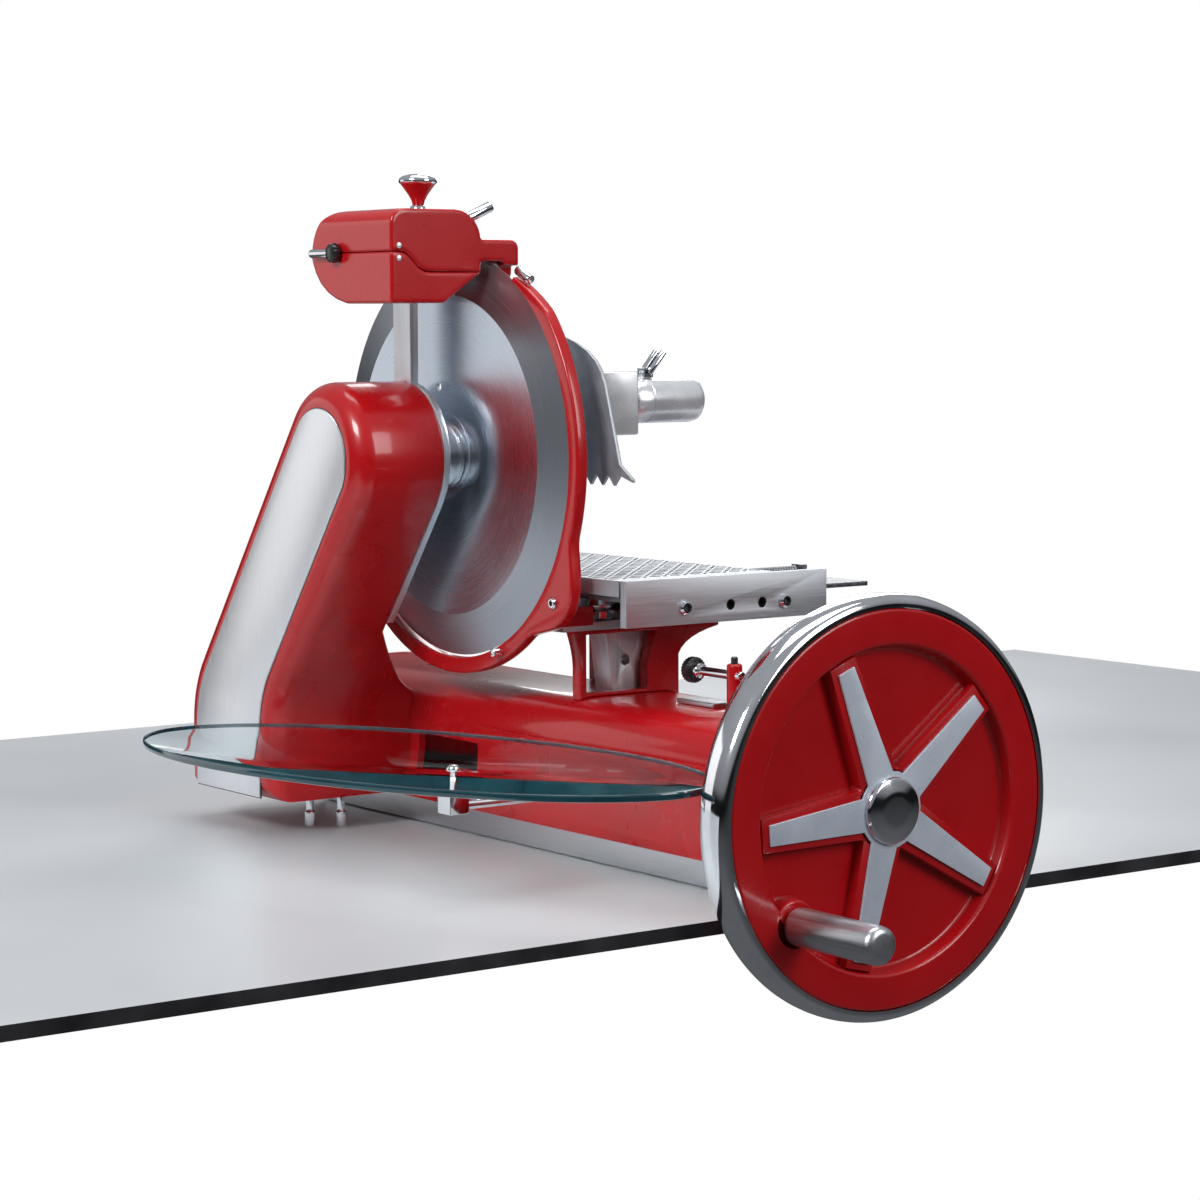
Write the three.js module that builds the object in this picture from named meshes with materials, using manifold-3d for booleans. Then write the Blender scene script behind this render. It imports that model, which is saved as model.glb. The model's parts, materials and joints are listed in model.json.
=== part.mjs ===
// Hand crank meat slicer, as a three.js scene graph.
// Millimetres, +Z up. The origin is the centre of the plinth's underside.
// +X points to the flywheel, -Y to the side where the slices fall, +Y to the food table.
import * as THREE from 'three';
import { mergeVertices } from 'three/addons/utils/BufferGeometryUtils.js';
import Module from 'manifold-3d';

const wasm = await Module();
wasm.setup();

// Shared clearances
const fitGap = 0.3;
const runGap = 0.8;
const cutOverrun = 2;
const castWall = 7;

// Base: silver plinth under a red casting
const baseLength = 700;
const baseHalfWidth = 68;
const baseTopHeight = 135;
const baseTopHalfWidth = 36;
const shoulderDrop = 35;
const plinthHeight = 23;
const plinthInset = 8;
const plinthWall = 3;
const beadHeight = 14;
const beadDepth = 4;
const beadStartX = -62;

// Flywheel and crank
const flywheelAxisHeight = 77;
const flywheelStandOff = 58;
const flywheelRadius = 168;
const flywheelWidth = 31;
const rimBand = 10.5;
const dishRadius = 129;
const dishDepth = 12;
const discThickness = 9;
const hubRadius = 34;
const spokeCount = 5;
const spokeRootWidth = 40;
const spokeTipWidth = 27;
const spokeInlayDepth = 2;
const crankRadius = 124;
const crankAngle = 220;
const crankPinRadius = 5;
const gripRadius = 15;
const gripLength = 98;
const flywheelShaftRadius = 14;
const flywheelBearingWall = 8;

// Blade
const bladeAxisX = -65;
const bladeAxisHeight = 340;
const bladePlaneY = -90;
const bladeRadius = 175;
const bevelWidth = 36;
const bladeThickness = 3.5;
const bladeDish = 6;
const bladeHubRadius = 31;
const bladeHubLength = 23;
const bladeShaftRadius = 9;
const bladeBearingWall = 8;
const balanceHoleRadius = 4;

// Column
const columnFrontY = -212;
const columnBackY = -127;
const columnTopX = -92;
const columnTopDrop = 2;
const columnTopRadius = 66;
const columnBendShare = 0.305;
const columnFootX = -257.5;
const columnFootHalfWidth = 79;
const columnFootHeight = 29;
const columnEdgeRadius = 20;
const facePlateInset = 22;
const facePlateThickness = 3;
const footBlockHeight = 95;
const footFlareRise = 66;
const footFlareReach = 39;
const footFlareSag = 11;
const footRadius = 5;
const footInset = 16;
const footSetback = 57;
const footSpacing = 23;

// Support plate behind the column, with the post that carries the sharpener
const supportThickness = 6;
const postWidth = 27;
const postCentreX = -89;
const postThickness = 8;

// Ring guard
const guardClearance = 2;
const guardWidth = 14;
const guardThickness = 11;
const guardLiftTravel = 18;
const guardStartAngle = 57;
const guardEndAngle = -150;
const guardLobeAngle = -36;
const guardLobeReach = 24;
const guardLobeSpanAngle = 34;
const guardTipWidth = 5;
const guardTaperAngle = 16;
const guardBracketLead = 24;
const guardBracketLength = 46;
const guardBracketSeat = 14;
const guardBracketHeight = 16;
const guardStudRadius = 4.5;
const guardStudLength = 20;
const studSetbackAngle = 2;
const studLeanAngle = 8;
const guardPinAngle = -65;

// Sharpener
const sharpenerLeftX = -134;
const sharpenerRightX = -4;
const sharpenerFrontY = -192;
const sharpenerBladeGap = 2;
const bladeReachIn = 44;
const sharpenerHeight = 79;
const sharpenerEndRadius = 38;
const sharpenerCrownRadius = 26;
const sharpenerWall = 5;
const seamFrontRise = 43;
const seamSideRise = 26;
const noseReach = 38.5;
const noseWidth = 30;
const noseHeight = 22;
const noseRise = 54;
const stoneRadius = 19.8;
const honingRadius = 12;
const stoneSink = 8;
const stoneThickness = 9;
const stoneSpindleRadius = 4;
const noseTabRadius = 7;
const noseTabDepth = 15;
const knobRadius = 16.5;
const knobHeight = 30;
const knobOffset = 36.5;
const endKnobRadius = 8.5;
const endKnobInset = 44;
const knobBarLength = 36;
const lockPinLength = 28;
const lockPinRadius = 4.5;
const lockPinTiltAngle = 66;

// Pedestal and carriage
const pedestalLeftX = -45;
const pedestalRightX = 65;
const pedestalFrontY = -50;
const pedestalBackY = 56;
const pedestalTopFrontY = -57;
const pedestalTopBackY = 100;
const pedestalRiseShare = 0.28;
const pedestalWindowWidth = 64;
const pedestalFrameThickness = 12;
const pedestalSpineY = 38;
const guideBlockWidth = 44;
const guideBlockDepth = 24;
const flangeThickness = 7.5;
const flangeOverhang = 3;
const flangeFrontY = -70;
const flangeBackY = 114;
const rollerRadius = 16;
const rollerHeight = 19;
const rollerGroove = 2.5;
const rollerFrontY = -20;
const rollerBackY = 91;
const rollerSpacing = 76;
const rollerCentreX = 10;
const rollerPinRadius = 4;
const railWidth = 12;
const railLeftX = -235;
const carriageRightX = 149.7;
const carriageLeftX = -155;
const carriageFrontY = -70;
const carriageBackY = 199;
const carriageThickness = 4;
const carriageRise = 35.6;
const endBarThickness = 8;
const endBarLength = 215;
const endBarDrop = 25;
const endBlockLength = 10;
const barHoleRadius = 4.7;
const barHoleDrop = 11;
const barHoleFrontY = 40;
const barHoleBackY = 74;

// Food table
const tableFrontY = -71;
const tableBackY = 93;
const tableHeight = 14;
const tableWall = 3;
const feedScrewRadius = 3.5;
const feedScrewX = 60;

// Meat press
const pressPostX = -15;
const pressPostY = -30;
const pressPostRadius = 9;
const pressPostHeight = 213;
const pressPostChamfer = 2;
const pressPlateY = -60;
const pressPlateThickness = 3;
const pressPlateLeftX = -12;
const pressPlateRightX = 136;
const pressPlateRise = 86;
const pressPlateHeight = 115;
const pressToothDepth = 9;
const pressToothCount = 9;
const pressSpurReach = 18;
const pressBoxLeftX = 68;
const pressBoxRightX = 107;
const pressBoxBackY = -18;
const pressBoxRise = 118;
const pressBoxHeight = 54;
const pressArmHeight = 26;
const pressGripRadius = 19;
const pressGripLength = 74;
const lockLeverLength = 24;
const lockLeverAngle = 40;

// Receiving tray
const trayCentreX = 90;
const trayCentreY = -234;
const trayHalfLength = 291;
const trayHalfWidth = 136;
const trayYaw = 14;
const trayTop = 104;
const trayThickness = 6;
const trayArmRadius = 3.5;
const trayArmHeight = 76;
const trayArmX = 181;
const trayArmSpacing = 27;
const trayArmReach = 197;
const trayArmStagger = 26;
const trayBlockWidth = 18;
const trayButtonRadius = 5.5;

// Slice adjustment beside the flywheel
const adjusterPostX = 203;
const adjusterPostY = 8;
const adjusterPostRadius = 6.5;
const adjusterRise = 28;
const adjusterKnobRadius = 11;
const adjusterLength = 52;
const stripThickness = 4;
const stripWidth = 26;
const stripLength = 40;

// Drive inside the casting
const crossShaftRadius = 9;
const crossShaftEndY = -196;
const crossBoreWall = 9;
const crossBearingWall = 7;
const bevelGearRoom = 7;
const bevelPinionRadius = 20;
const gearFace = 12;
const toothDepth = 3;
const bevelToothCount = 44;
const pinionToothCount = 20;
const lowerSprocketToothCount = 20;
const upperSprocketToothCount = 10;
const lowerSprocketRadius = 32;
const upperSprocketRadius = 16;
const sprocketWidth = 6;
const sprocketY = -165;
const chainThickness = 4;

// Facets
const roundFacets = 24;
const smallFacets = 12;
const wheelFacets = 48;

const deg = Math.PI / 180;
const model = new THREE.Group();

// Geometry to solid and back
function toSolid(geometry) {
  const bare = geometry.clone();
  bare.deleteAttribute('normal');
  bare.deleteAttribute('uv');
  const merged = mergeVertices(bare);
  return new wasm.Manifold(new wasm.Mesh({
    numProp: 3,
    vertProperties: new Float32Array(merged.attributes.position.array),
    triVerts: new Uint32Array(merged.index.array),
  }));
}

function toGeometry(solid) {
  const mesh = solid.getMesh();
  const geometry = new THREE.BufferGeometry();
  geometry.setAttribute('position', new THREE.BufferAttribute(mesh.vertProperties, mesh.numProp));
  geometry.setIndex(new THREE.BufferAttribute(mesh.triVerts, 1));
  geometry.computeVertexNormals();
  return geometry;
}

// Axis frames: local z of a turned or extruded shape goes along the named axis
const frames = {
  x: new THREE.Matrix4().set(0, 0, 1, 0, 1, 0, 0, 0, 0, 1, 0, 0, 0, 0, 0, 1),
  y: new THREE.Matrix4().set(1, 0, 0, 0, 0, 0, -1, 0, 0, 1, 0, 0, 0, 0, 0, 1),
  z: new THREE.Matrix4(),
};

// A box between two corners
function block(x0, x1, y0, y1, z0, z1) {
  const geometry = new THREE.BoxGeometry(x1 - x0, y1 - y0, z1 - z0);
  geometry.translate((x0 + x1) / 2, (y0 + y1) / 2, (z0 + z1) / 2);
  return toSolid(geometry);
}

// A turned profile of [radius, height] points about local z
function turned(points, facets) {
  const geometry = new THREE.LatheGeometry(points.map(([r, h]) => new THREE.Vector2(r, h)), facets);
  geometry.rotateX(Math.PI / 2);
  return geometry;
}

function along(geometry, axis, x, y, z) {
  geometry.applyMatrix4(frames[axis]);
  geometry.translate(x, y, z);
  return toSolid(geometry);
}

// A round bar along an axis between two coordinates on it; a and b are the other two coordinates
function bar(axis, radius, from, to, a, b, facets = smallFacets) {
  const profile = [[0, from], [radius, from], [radius, to], [0, to]];
  if (axis === 'y') {
    return along(turned([[0, -to], [radius, -to], [radius, -from], [0, -from]], facets), 'y', a, 0, b);
  }
  return axis === 'x'
    ? along(turned(profile, facets), 'x', 0, a, b)
    : along(turned(profile, facets), 'z', a, b, 0);
}

// A turned profile of [radius, coordinate] points about an axis
function spun(axis, points, a, b, facets = roundFacets) {
  if (axis === 'y') {
    return along(turned(points.map(([r, h]) => [r, -h]).reverse(), facets), 'y', a, 0, b);
  }
  return axis === 'x' ? along(
    turned(points, facets), 'x', 0, a, b,
  ) : along(turned(points, facets), 'z', a, b, 0);
}

// A flat outline carried along an axis. Outlines are in XZ for y, in YZ for x and in XY for z.
function prism(outline, axis, from, to, curveSegments = 8) {
  const shape = outline instanceof THREE.Shape ? outline : new THREE.Shape(
    outline.map(([u, v]) => new THREE.Vector2(u, v)),
  );
  const geometry = new THREE.ExtrudeGeometry(
    shape, { depth: to - from, bevelEnabled: false, curveSegments },
  );
  geometry.applyMatrix4(frames[axis]);
  geometry.translate(axis === 'x' ? from : 0, axis === 'y' ? to : 0, axis === 'z' ? from : 0);
  return toSolid(geometry);
}

// A closed skin through rings of points, with flat ends
function loft(rings) {
  const count = rings[0].length;
  const positions = rings.flat().flatMap((p) => [p.x, p.y, p.z]);
  const index = [];
  for (let r = 0; r + 1 < rings.length; r += 1) {
    for (let i = 0; i < count; i += 1) {
      const j = (i + 1) % count;
      const a = r * count + i;
      const b = r * count + j;
      index.push(a, b, b + count, a, b + count, a + count);
    }
  }
  const flat = (ring) => {
    const u = ring[1].clone().sub(ring[0]).normalize();
    const far = ring.reduce((best, p) => {
      const spread = new THREE.Vector3().crossVectors(u, p.clone().sub(ring[0]));
      return spread.length() > best.length() ? spread : best;
    }, new THREE.Vector3());
    const n = far.normalize();
    const v = new THREE.Vector3().crossVectors(n, u);
    return ring.map((p) => new THREE.Vector2(p.dot(u), p.dot(v)));
  };
  const outline = flat(rings[0]);
  const faces = THREE.ShapeUtils.triangulateShape(outline, []);
  const last = (rings.length - 1) * count;
  const turnsLeft = THREE.ShapeUtils.area(outline) > 0;
  faces.forEach(([a, b, c]) => {
    index.push(...(turnsLeft ? [a, c, b] : [a, b, c]));
    index.push(...(turnsLeft ? [last + a, last + b, last + c] : [last + a, last + c, last + b]));
  });
  const geometry = new THREE.BufferGeometry();
  geometry.setAttribute('position', new THREE.Float32BufferAttribute(positions, 3));
  geometry.setIndex(index);
  const solid = toSolid(geometry);
  if (solid.volume() > 0) return solid;
  for (let i = 0; i < index.length; i += 3) [index[i + 1], index[i + 2]] = [index[i + 2], index[i + 1]];
  geometry.setIndex(index);
  return toSolid(geometry);
}

const joined = (...solids) => solids.reduce((a, b) => a.add(b));
const cut = (solid, ...tools) => tools.reduce((a, b) => a.subtract(b), solid);

// Finishes
const finish = (color, roughness, metalness) => () => new THREE.MeshStandardMaterial(
  { color, roughness, metalness },
);
const redPaint = finish(0xa8141c, 0.25, 0.1);
const chrome = finish(0xdde2e6, 0.08, 1);
const brushedSteel = finish(0x9aa3ad, 0.35, 1);
const paleAluminium = finish(0xd6dade, 0.4, 0.9);
const darkSteel = finish(0x40464c, 0.45, 0.9);
const blackPlastic = finish(0x101214, 0.4, 0);
const inlayBlue = finish(0xb4bed0, 0.35, 0.3);
const stoneGrey = finish(0x8c8a86, 0.9, 0);
const glassClear = finish(0x2c6a78, 0.05, 0);

function add(name, solid, material) {
  const mesh = new THREE.Mesh(toGeometry(solid), material());
  mesh.name = name;
  model.add(mesh);
}

// Base casting: a shell open underneath, with a bead along each side and rounded shoulders
const halfLength = baseLength / 2;
const shoulderHeight = baseTopHeight - shoulderDrop;
const baseBottom = plinthHeight + fitGap;

function baseSection(offset, bottom) {
  const side = baseHalfWidth - offset;
  const top = baseTopHeight - offset;
  const shape = new THREE.Shape();
  shape.moveTo(-side, bottom);
  shape.lineTo(side, bottom);
  shape.lineTo(side, shoulderHeight);
  shape.quadraticCurveTo(side, top, baseTopHalfWidth, top);
  shape.lineTo(-baseTopHalfWidth, top);
  shape.quadraticCurveTo(-side, top, -side, shoulderHeight);
  shape.closePath();
  return shape;
}

function beadOutline(left, right) {
  const low = shoulderHeight - beadHeight;
  const shape = new THREE.Shape();
  shape.moveTo(right, low);
  shape.lineTo(right, shoulderHeight);
  shape.lineTo(left, shoulderHeight);
  shape.absarc(left, (low + shoulderHeight) / 2, beadHeight / 2, Math.PI / 2, Math.PI * 1.5, false);
  shape.closePath();
  return shape;
}

const baseSkin = prism(baseSection(0, baseBottom), 'x', -halfLength, halfLength, 6);
const baseRoom = prism(
  baseSection(castWall, baseBottom - cutOverrun), 'x', -halfLength + castWall, halfLength - castWall, 6,
);
const beadRight = halfLength - castWall;
const frontBead = prism(
  beadOutline(beadStartX, beadRight), 'y', -baseHalfWidth - beadDepth, -baseHalfWidth + castWall / 2, 6,
);
const backBead = prism(
  beadOutline(beadStartX, beadRight), 'y', baseHalfWidth - castWall / 2, baseHalfWidth + beadDepth, 6,
);
const bearingOuter = flywheelShaftRadius + flywheelBearingWall;
const bearingBoss = bar(
  'x', bearingOuter + castWall, halfLength - castWall, halfLength + castWall, 0, flywheelAxisHeight,
  roundFacets,
);
const bearingSeat = bar(
  'x', bearingOuter + fitGap, halfLength - castWall - cutOverrun, halfLength + castWall + cutOverrun, 0,
  flywheelAxisHeight, roundFacets,
);

// The foot block of the column meets the front wall of the base
const columnFootLeft = columnFootX - columnFootHalfWidth;
const columnFootRight = columnFootX + columnFootHalfWidth;
const footBlockTop = columnFootHeight + footBlockHeight;
const footFlareTop = footBlockTop + footFlareRise;
const crossBoreRadius = crossShaftRadius + crossBoreWall;
const crossBore = bar(
  'y', crossBoreRadius, -baseHalfWidth - beadDepth - cutOverrun, -baseHalfWidth + castWall + cutOverrun,
  columnFootX, flywheelAxisHeight, roundFacets,
);

// A dark drive window in the front wall, right of the column's foot
const windowLeft = columnFootRight + castWall * 2;
const windowRight = beadStartX - castWall;
const windowBottom = shoulderHeight - beadHeight * 4;
const windowTop = shoulderHeight - beadHeight * 2;
const driveWindow = block(
  windowLeft, windowRight, -baseHalfWidth - cutOverrun, -baseHalfWidth + castWall + cutOverrun,
  windowBottom, windowTop,
);

add(
  'base_casting',
  cut(joined(baseSkin, frontBead, backBead, bearingBoss), baseRoom, bearingSeat, crossBore, driveWindow),
  redPaint,
);

// Plinth: a folded tray, open at the top under the casting
const plinthHalfLength = halfLength - plinthInset;
const plinthHalfWidth = baseHalfWidth - plinthInset;
add('plinth_tray', cut(
  block(-plinthHalfLength, plinthHalfLength, -plinthHalfWidth, plinthHalfWidth, 0, plinthHeight),
  block(
    -plinthHalfLength + plinthWall, plinthHalfLength - plinthWall, -plinthHalfWidth + plinthWall,
    plinthHalfWidth - plinthWall, plinthWall, plinthHeight + cutOverrun,
  ),
), brushedSteel);

// Column outline: round at the top, leaning to a broad upright foot
const columnTopHeight = bladeAxisHeight - columnTopDrop;
const bendHeight = columnFootHeight + (columnTopHeight - columnFootHeight) * columnBendShare;
const bendToTop = new THREE.Vector2(columnTopX - columnFootLeft, columnTopHeight - bendHeight);
const columnLean = Math.atan2(bendToTop.x, bendToTop.y) - Math.asin(columnTopRadius / bendToTop.length());
const leanU = [Math.sin(columnLean), Math.cos(columnLean)];
const topArcSteps = 12;

function columnOutline(inset, bottomInset = inset) {
  const r = columnTopRadius - inset;
  const left = columnFootLeft + inset;
  const right = columnFootRight - inset;
  const bottom = columnFootHeight + bottomInset;
  const leftTangent = [columnTopX - r * leanU[1], columnTopHeight + r * leanU[0]];
  const rightTangent = [columnTopX + r * leanU[1], columnTopHeight - r * leanU[0]];
  const drop = (from, x) => [x, from[1] - (from[0] - x) * leanU[1] / leanU[0]];
  const leftBend = drop(leftTangent, left);
  const rightBend = drop(rightTangent, right);
  const soft = columnTopRadius / 2;
  const bend = (corner) => {
    const below = new THREE.Vector2(corner[0], corner[1] - soft);
    const above = new THREE.Vector2(corner[0] + soft * leanU[0], corner[1] + soft * leanU[1]);
    return new THREE.QuadraticBezierCurve(below, new THREE.Vector2(...corner), above).getPoints(4);
  };
  const start = Math.PI - columnLean;
  const arc = Array.from({ length: topArcSteps + 1 }, (_, i) => {
    const angle = start - (Math.PI * i) / topArcSteps;
    return new THREE.Vector2(columnTopX + r * Math.cos(angle), columnTopHeight + r * Math.sin(angle));
  });
  return [
    new THREE.Vector2(left, bottom), ...bend(leftBend), ...arc, ...bend(rightBend).reverse(),
    new THREE.Vector2(right, bottom),
  ];
}

const ringAt = (outline, y) => outline.map((p) => new THREE.Vector3(p.x, y, p.y));
const edgeStepShares = [0, 0.25, 0.5, 0.75, 1];
const columnRings = edgeStepShares.map((share) => {
  const angle = (1 - share) * Math.PI / 2;
  const inset = columnEdgeRadius * (1 - Math.cos(angle));
  return ringAt(columnOutline(inset), columnFrontY + columnEdgeRadius * (1 - Math.sin(angle)));
});
const columnSkin = loft([...columnRings, ringAt(columnOutline(0), columnBackY)]);
const columnRoomFront = columnFrontY + columnEdgeRadius;
const columnRoom = loft(
  [
    ringAt(columnOutline(castWall), columnRoomFront),
    ringAt(columnOutline(castWall), columnBackY + cutOverrun),
  ],
);
// Rooms kept free in the column: the ring guard's sweep behind it and the chain's route inside it
const guardInner = bladeRadius + guardClearance;
const guardOuter = guardInner + guardWidth;
const guardFrontY = bladePlaneY - guardThickness / 2;
const guardBackY = guardFrontY + guardThickness;
const guardRoom = bar(
  'y', guardOuter + runGap, guardFrontY - guardLiftTravel - runGap, guardBackY + runGap, bladeAxisX,
  bladeAxisHeight, wheelFacets,
);

function beltOutline(r1, r2) {
  const from = new THREE.Vector2(columnFootX, flywheelAxisHeight);
  const to = new THREE.Vector2(bladeAxisX, bladeAxisHeight);
  const heading = Math.atan2(to.y - from.y, to.x - from.x);
  const spread = Math.acos((r1 - r2) / from.distanceTo(to));
  const steps = 14;
  const arc = (centre, radius, a0, a1) => Array.from({ length: steps + 1 }, (_, i) => {
    const angle = a0 + ((a1 - a0) * i) / steps;
    return [centre.x + radius * Math.cos(angle), centre.y + radius * Math.sin(angle)];
  });
  return [
    ...arc(to, r2, heading - spread, heading + spread),
    ...arc(from, r1, heading + spread, heading - spread + 2 * Math.PI),
  ];
}
const chainRoom = prism(
  beltOutline(
    lowerSprocketRadius + chainThickness + runGap, upperSprocketRadius + chainThickness + runGap,
  ),
  'y', sprocketY - sprocketWidth, sprocketY + sprocketWidth,
);

// The foot reaches back to the base, its top falling in a curve from the column's back
function footForm(inset, from, to) {
  const shape = new THREE.Shape();
  shape.moveTo(from, columnFootHeight + inset);
  shape.lineTo(to, columnFootHeight + inset);
  shape.lineTo(to, footBlockTop - inset);
  shape.quadraticCurveTo(
    columnBackY + footFlareReach, footBlockTop + footFlareSag - inset * 2,
    columnBackY, footFlareTop - inset * 2,
  );
  shape.lineTo(from, footFlareTop - inset * 2);
  shape.closePath();
  const outline = columnOutline(inset);
  return prism(shape, 'x', columnFootLeft - cutOverrun, columnTopX, 8).intersect(
    loft([ringAt(outline, from), ringAt(outline, to)]),
  );
}
const footBlock = footForm(0, columnBackY - castWall, -baseHalfWidth - fitGap);
const footRoom = footForm(castWall, columnBackY - castWall - cutOverrun, -baseHalfWidth - castWall);
const footBore = bar(
  'y', crossBoreRadius, -baseHalfWidth - castWall - cutOverrun, -baseHalfWidth + cutOverrun, columnFootX,
  flywheelAxisHeight, roundFacets,
);
const bladeBearingOuter = bladeShaftRadius + bladeBearingWall;
const frontBearingBack = columnRoomFront + sprocketWidth * 2;
const bladeBoss = bar(
  'y', bladeBearingOuter + castWall, columnRoomFront - castWall / 2, frontBearingBack, bladeAxisX,
  bladeAxisHeight, roundFacets,
);
const crossBearingOuter = crossShaftRadius + crossBearingWall;
const crossBoss = bar(
  'y', crossBearingOuter + castWall, columnRoomFront - castWall / 2, frontBearingBack, columnFootX,
  flywheelAxisHeight, roundFacets,
);
const bladeSeat = bar(
  'y', bladeShaftRadius + fitGap, crossShaftEndY - runGap, frontBearingBack + cutOverrun, bladeAxisX,
  bladeAxisHeight, roundFacets,
);
const crossSeat = bar(
  'y', crossShaftRadius + fitGap, crossShaftEndY - runGap, frontBearingBack + cutOverrun, columnFootX,
  flywheelAxisHeight, roundFacets,
);
const plateBottomInset = castWall / 2;
const platePocket = loft([
  ringAt(columnOutline(facePlateInset - fitGap, plateBottomInset - fitGap), columnFrontY - cutOverrun),
  ringAt(
    columnOutline(facePlateInset - fitGap, plateBottomInset - fitGap),
    columnFrontY + facePlateThickness / 2,
  ),
]);
add('column_casting', cut(
  joined(
    cut(joined(columnSkin, footBlock), columnRoom, footRoom), bladeBoss, crossBoss,
  ), chainRoom, guardRoom,
  bladeSeat, crossSeat, footBore, platePocket,
), redPaint);
add('column_face_plate', loft([
  ringAt(
    columnOutline(facePlateInset, plateBottomInset),
    columnFrontY + facePlateThickness / 2 - facePlateThickness,
  ),
  ringAt(columnOutline(facePlateInset, plateBottomInset), columnFrontY + facePlateThickness / 2 - fitGap),
]), brushedSteel);

// Two slim feet under the column
const footPlaces = [
  ['front', footInset * 2, columnFrontY + footSetback],
  ['rear', footInset, columnFrontY + footSetback + footSpacing],
];
footPlaces.forEach(([name, inset, y]) => {
  add(`column_foot_${name}`, spun('z', [
    [0, 0], [footRadius, 0], [footRadius, columnFootHeight / 2], [footRadius * 0.7, columnFootHeight / 2],
    [footRadius * 0.7, columnFootHeight - fitGap], [0, columnFootHeight - fitGap],
  ], columnFootRight - inset, y, smallFacets), brushedSteel);
});

// Support plate: closes the column's back and rises as the sharpener's post
const supportFrontY = columnBackY + fitGap;
const supportBackY = supportFrontY + supportThickness;
const supportShape = ringAt(columnOutline(-2 * fitGap, 0), 0);
const supportPlate = loft([
  supportShape.map((p) => new THREE.Vector3(p.x, supportFrontY, p.z)),
  supportShape.map((p) => new THREE.Vector3(p.x, supportBackY, p.z)),
]).subtract(block(
  columnFootLeft - cutOverrun, columnTopX, supportFrontY - cutOverrun, supportBackY + cutOverrun,
  columnFootHeight - cutOverrun, footFlareTop + fitGap,
));
const sharpenerBottom = bladeAxisHeight + bladeRadius - bladeReachIn;
const sharpenerTop = sharpenerBottom + sharpenerHeight;
const postTop = sharpenerTop - sharpenerWall * 4;
const supportPost = block(
  postCentreX - postWidth / 2, postCentreX + postWidth / 2, supportBackY - postThickness, supportBackY,
  columnTopHeight + columnTopRadius / 2, postTop,
);
const supportBore = bar(
  'y', bladeBearingOuter + fitGap, supportFrontY - postThickness, supportBackY + cutOverrun, bladeAxisX,
  bladeAxisHeight, roundFacets,
);
const postClear = loft(
  [
    ringAt(columnOutline(-fitGap), columnBackY - postThickness),
    ringAt(columnOutline(-fitGap), supportFrontY),
  ],
);
add('support_plate', cut(joined(supportPlate, cut(supportPost, postClear)), supportBore), paleAluminium);

// Bearings: a plain ring each
function bearing(name, axis, inner, outer, from, to, a, b) {
  add(
    name,
    spun(
      axis, [[inner, from], [outer, from], [outer, to], [inner, to], [inner, from]], a, b, roundFacets,
    ),
    brushedSteel,
  );
}
bearing(
  'flywheel_bearing', 'x', flywheelShaftRadius + fitGap, bearingOuter, halfLength - castWall,
  halfLength + castWall, 0, flywheelAxisHeight,
);
bearing(
  'blade_bearing_rear', 'y', bladeShaftRadius + fitGap, bladeBearingOuter, supportFrontY, supportBackY,
  bladeAxisX, bladeAxisHeight,
);

// Gear frame on the plinth floor carries the inner ends of both shafts
const bevelGearRadius = baseTopHeight - castWall - bevelGearRoom - flywheelAxisHeight;
const bevelGearX = columnFootX + bevelPinionRadius;
const bevelPinionY = -bevelGearRadius;
const frameX = bevelGearX + gearFace + runGap * 4;
const frameOutline = [
  [-baseHalfWidth / 2, plinthWall + fitGap], [baseHalfWidth / 2, plinthWall + fitGap],
  [baseHalfWidth / 3, flywheelAxisHeight + flywheelShaftRadius + castWall], [
    -baseHalfWidth / 3, flywheelAxisHeight + flywheelShaftRadius + castWall,
  ],
];
add('gear_frame', cut(
  prism(frameOutline, 'x', frameX, frameX + castWall * 2),
  bar(
    'x', flywheelShaftRadius + fitGap, frameX - cutOverrun, frameX + castWall * 2 + cutOverrun, 0,
    flywheelAxisHeight, roundFacets,
  ),
), darkSteel);

// A gear wheel with straight teeth about an axis
function toothedOutline(tipRadius, teeth, depth, cx, cy) {
  const rootRadius = tipRadius - depth;
  const toothShares = [0, 0.2, 0.35, 0.8];
  return Array.from({ length: teeth * toothShares.length }, (_, i) => {
    const tooth = Math.floor(i / toothShares.length);
    const share = toothShares[i % toothShares.length];
    const radius = i % toothShares.length === 1 || i % toothShares.length === 2 ? tipRadius : rootRadius;
    const angle = ((tooth + share) / teeth) * 2 * Math.PI;
    return [cx + radius * Math.cos(angle), cy + radius * Math.sin(angle)];
  });
}

// Flywheel shaft with the wheel's rear collar, and the bevel gear
const flywheelFaceX = halfLength + flywheelStandOff;
const flywheelBackX = flywheelFaceX - flywheelWidth;
const discBackX = flywheelFaceX - dishDepth - discThickness;
const hubBackX = halfLength + castWall + runGap;
const shaftEndX = bevelGearX + runGap;
const shaftFrontX = flywheelFaceX - dishDepth;
const collarFrontX = discBackX - fitGap;
add('flywheel_shaft', spun('x', [
  [0, shaftEndX + gearFace], [flywheelShaftRadius, shaftEndX + gearFace], [flywheelShaftRadius, hubBackX],
  [hubRadius * 0.8, hubBackX], [hubRadius, collarFrontX], [flywheelShaftRadius, collarFrontX],
  [flywheelShaftRadius, shaftFrontX], [0, shaftFrontX],
], 0, flywheelAxisHeight, roundFacets), brushedSteel);
const gearTip = bevelGearRadius - runGap;
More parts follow.
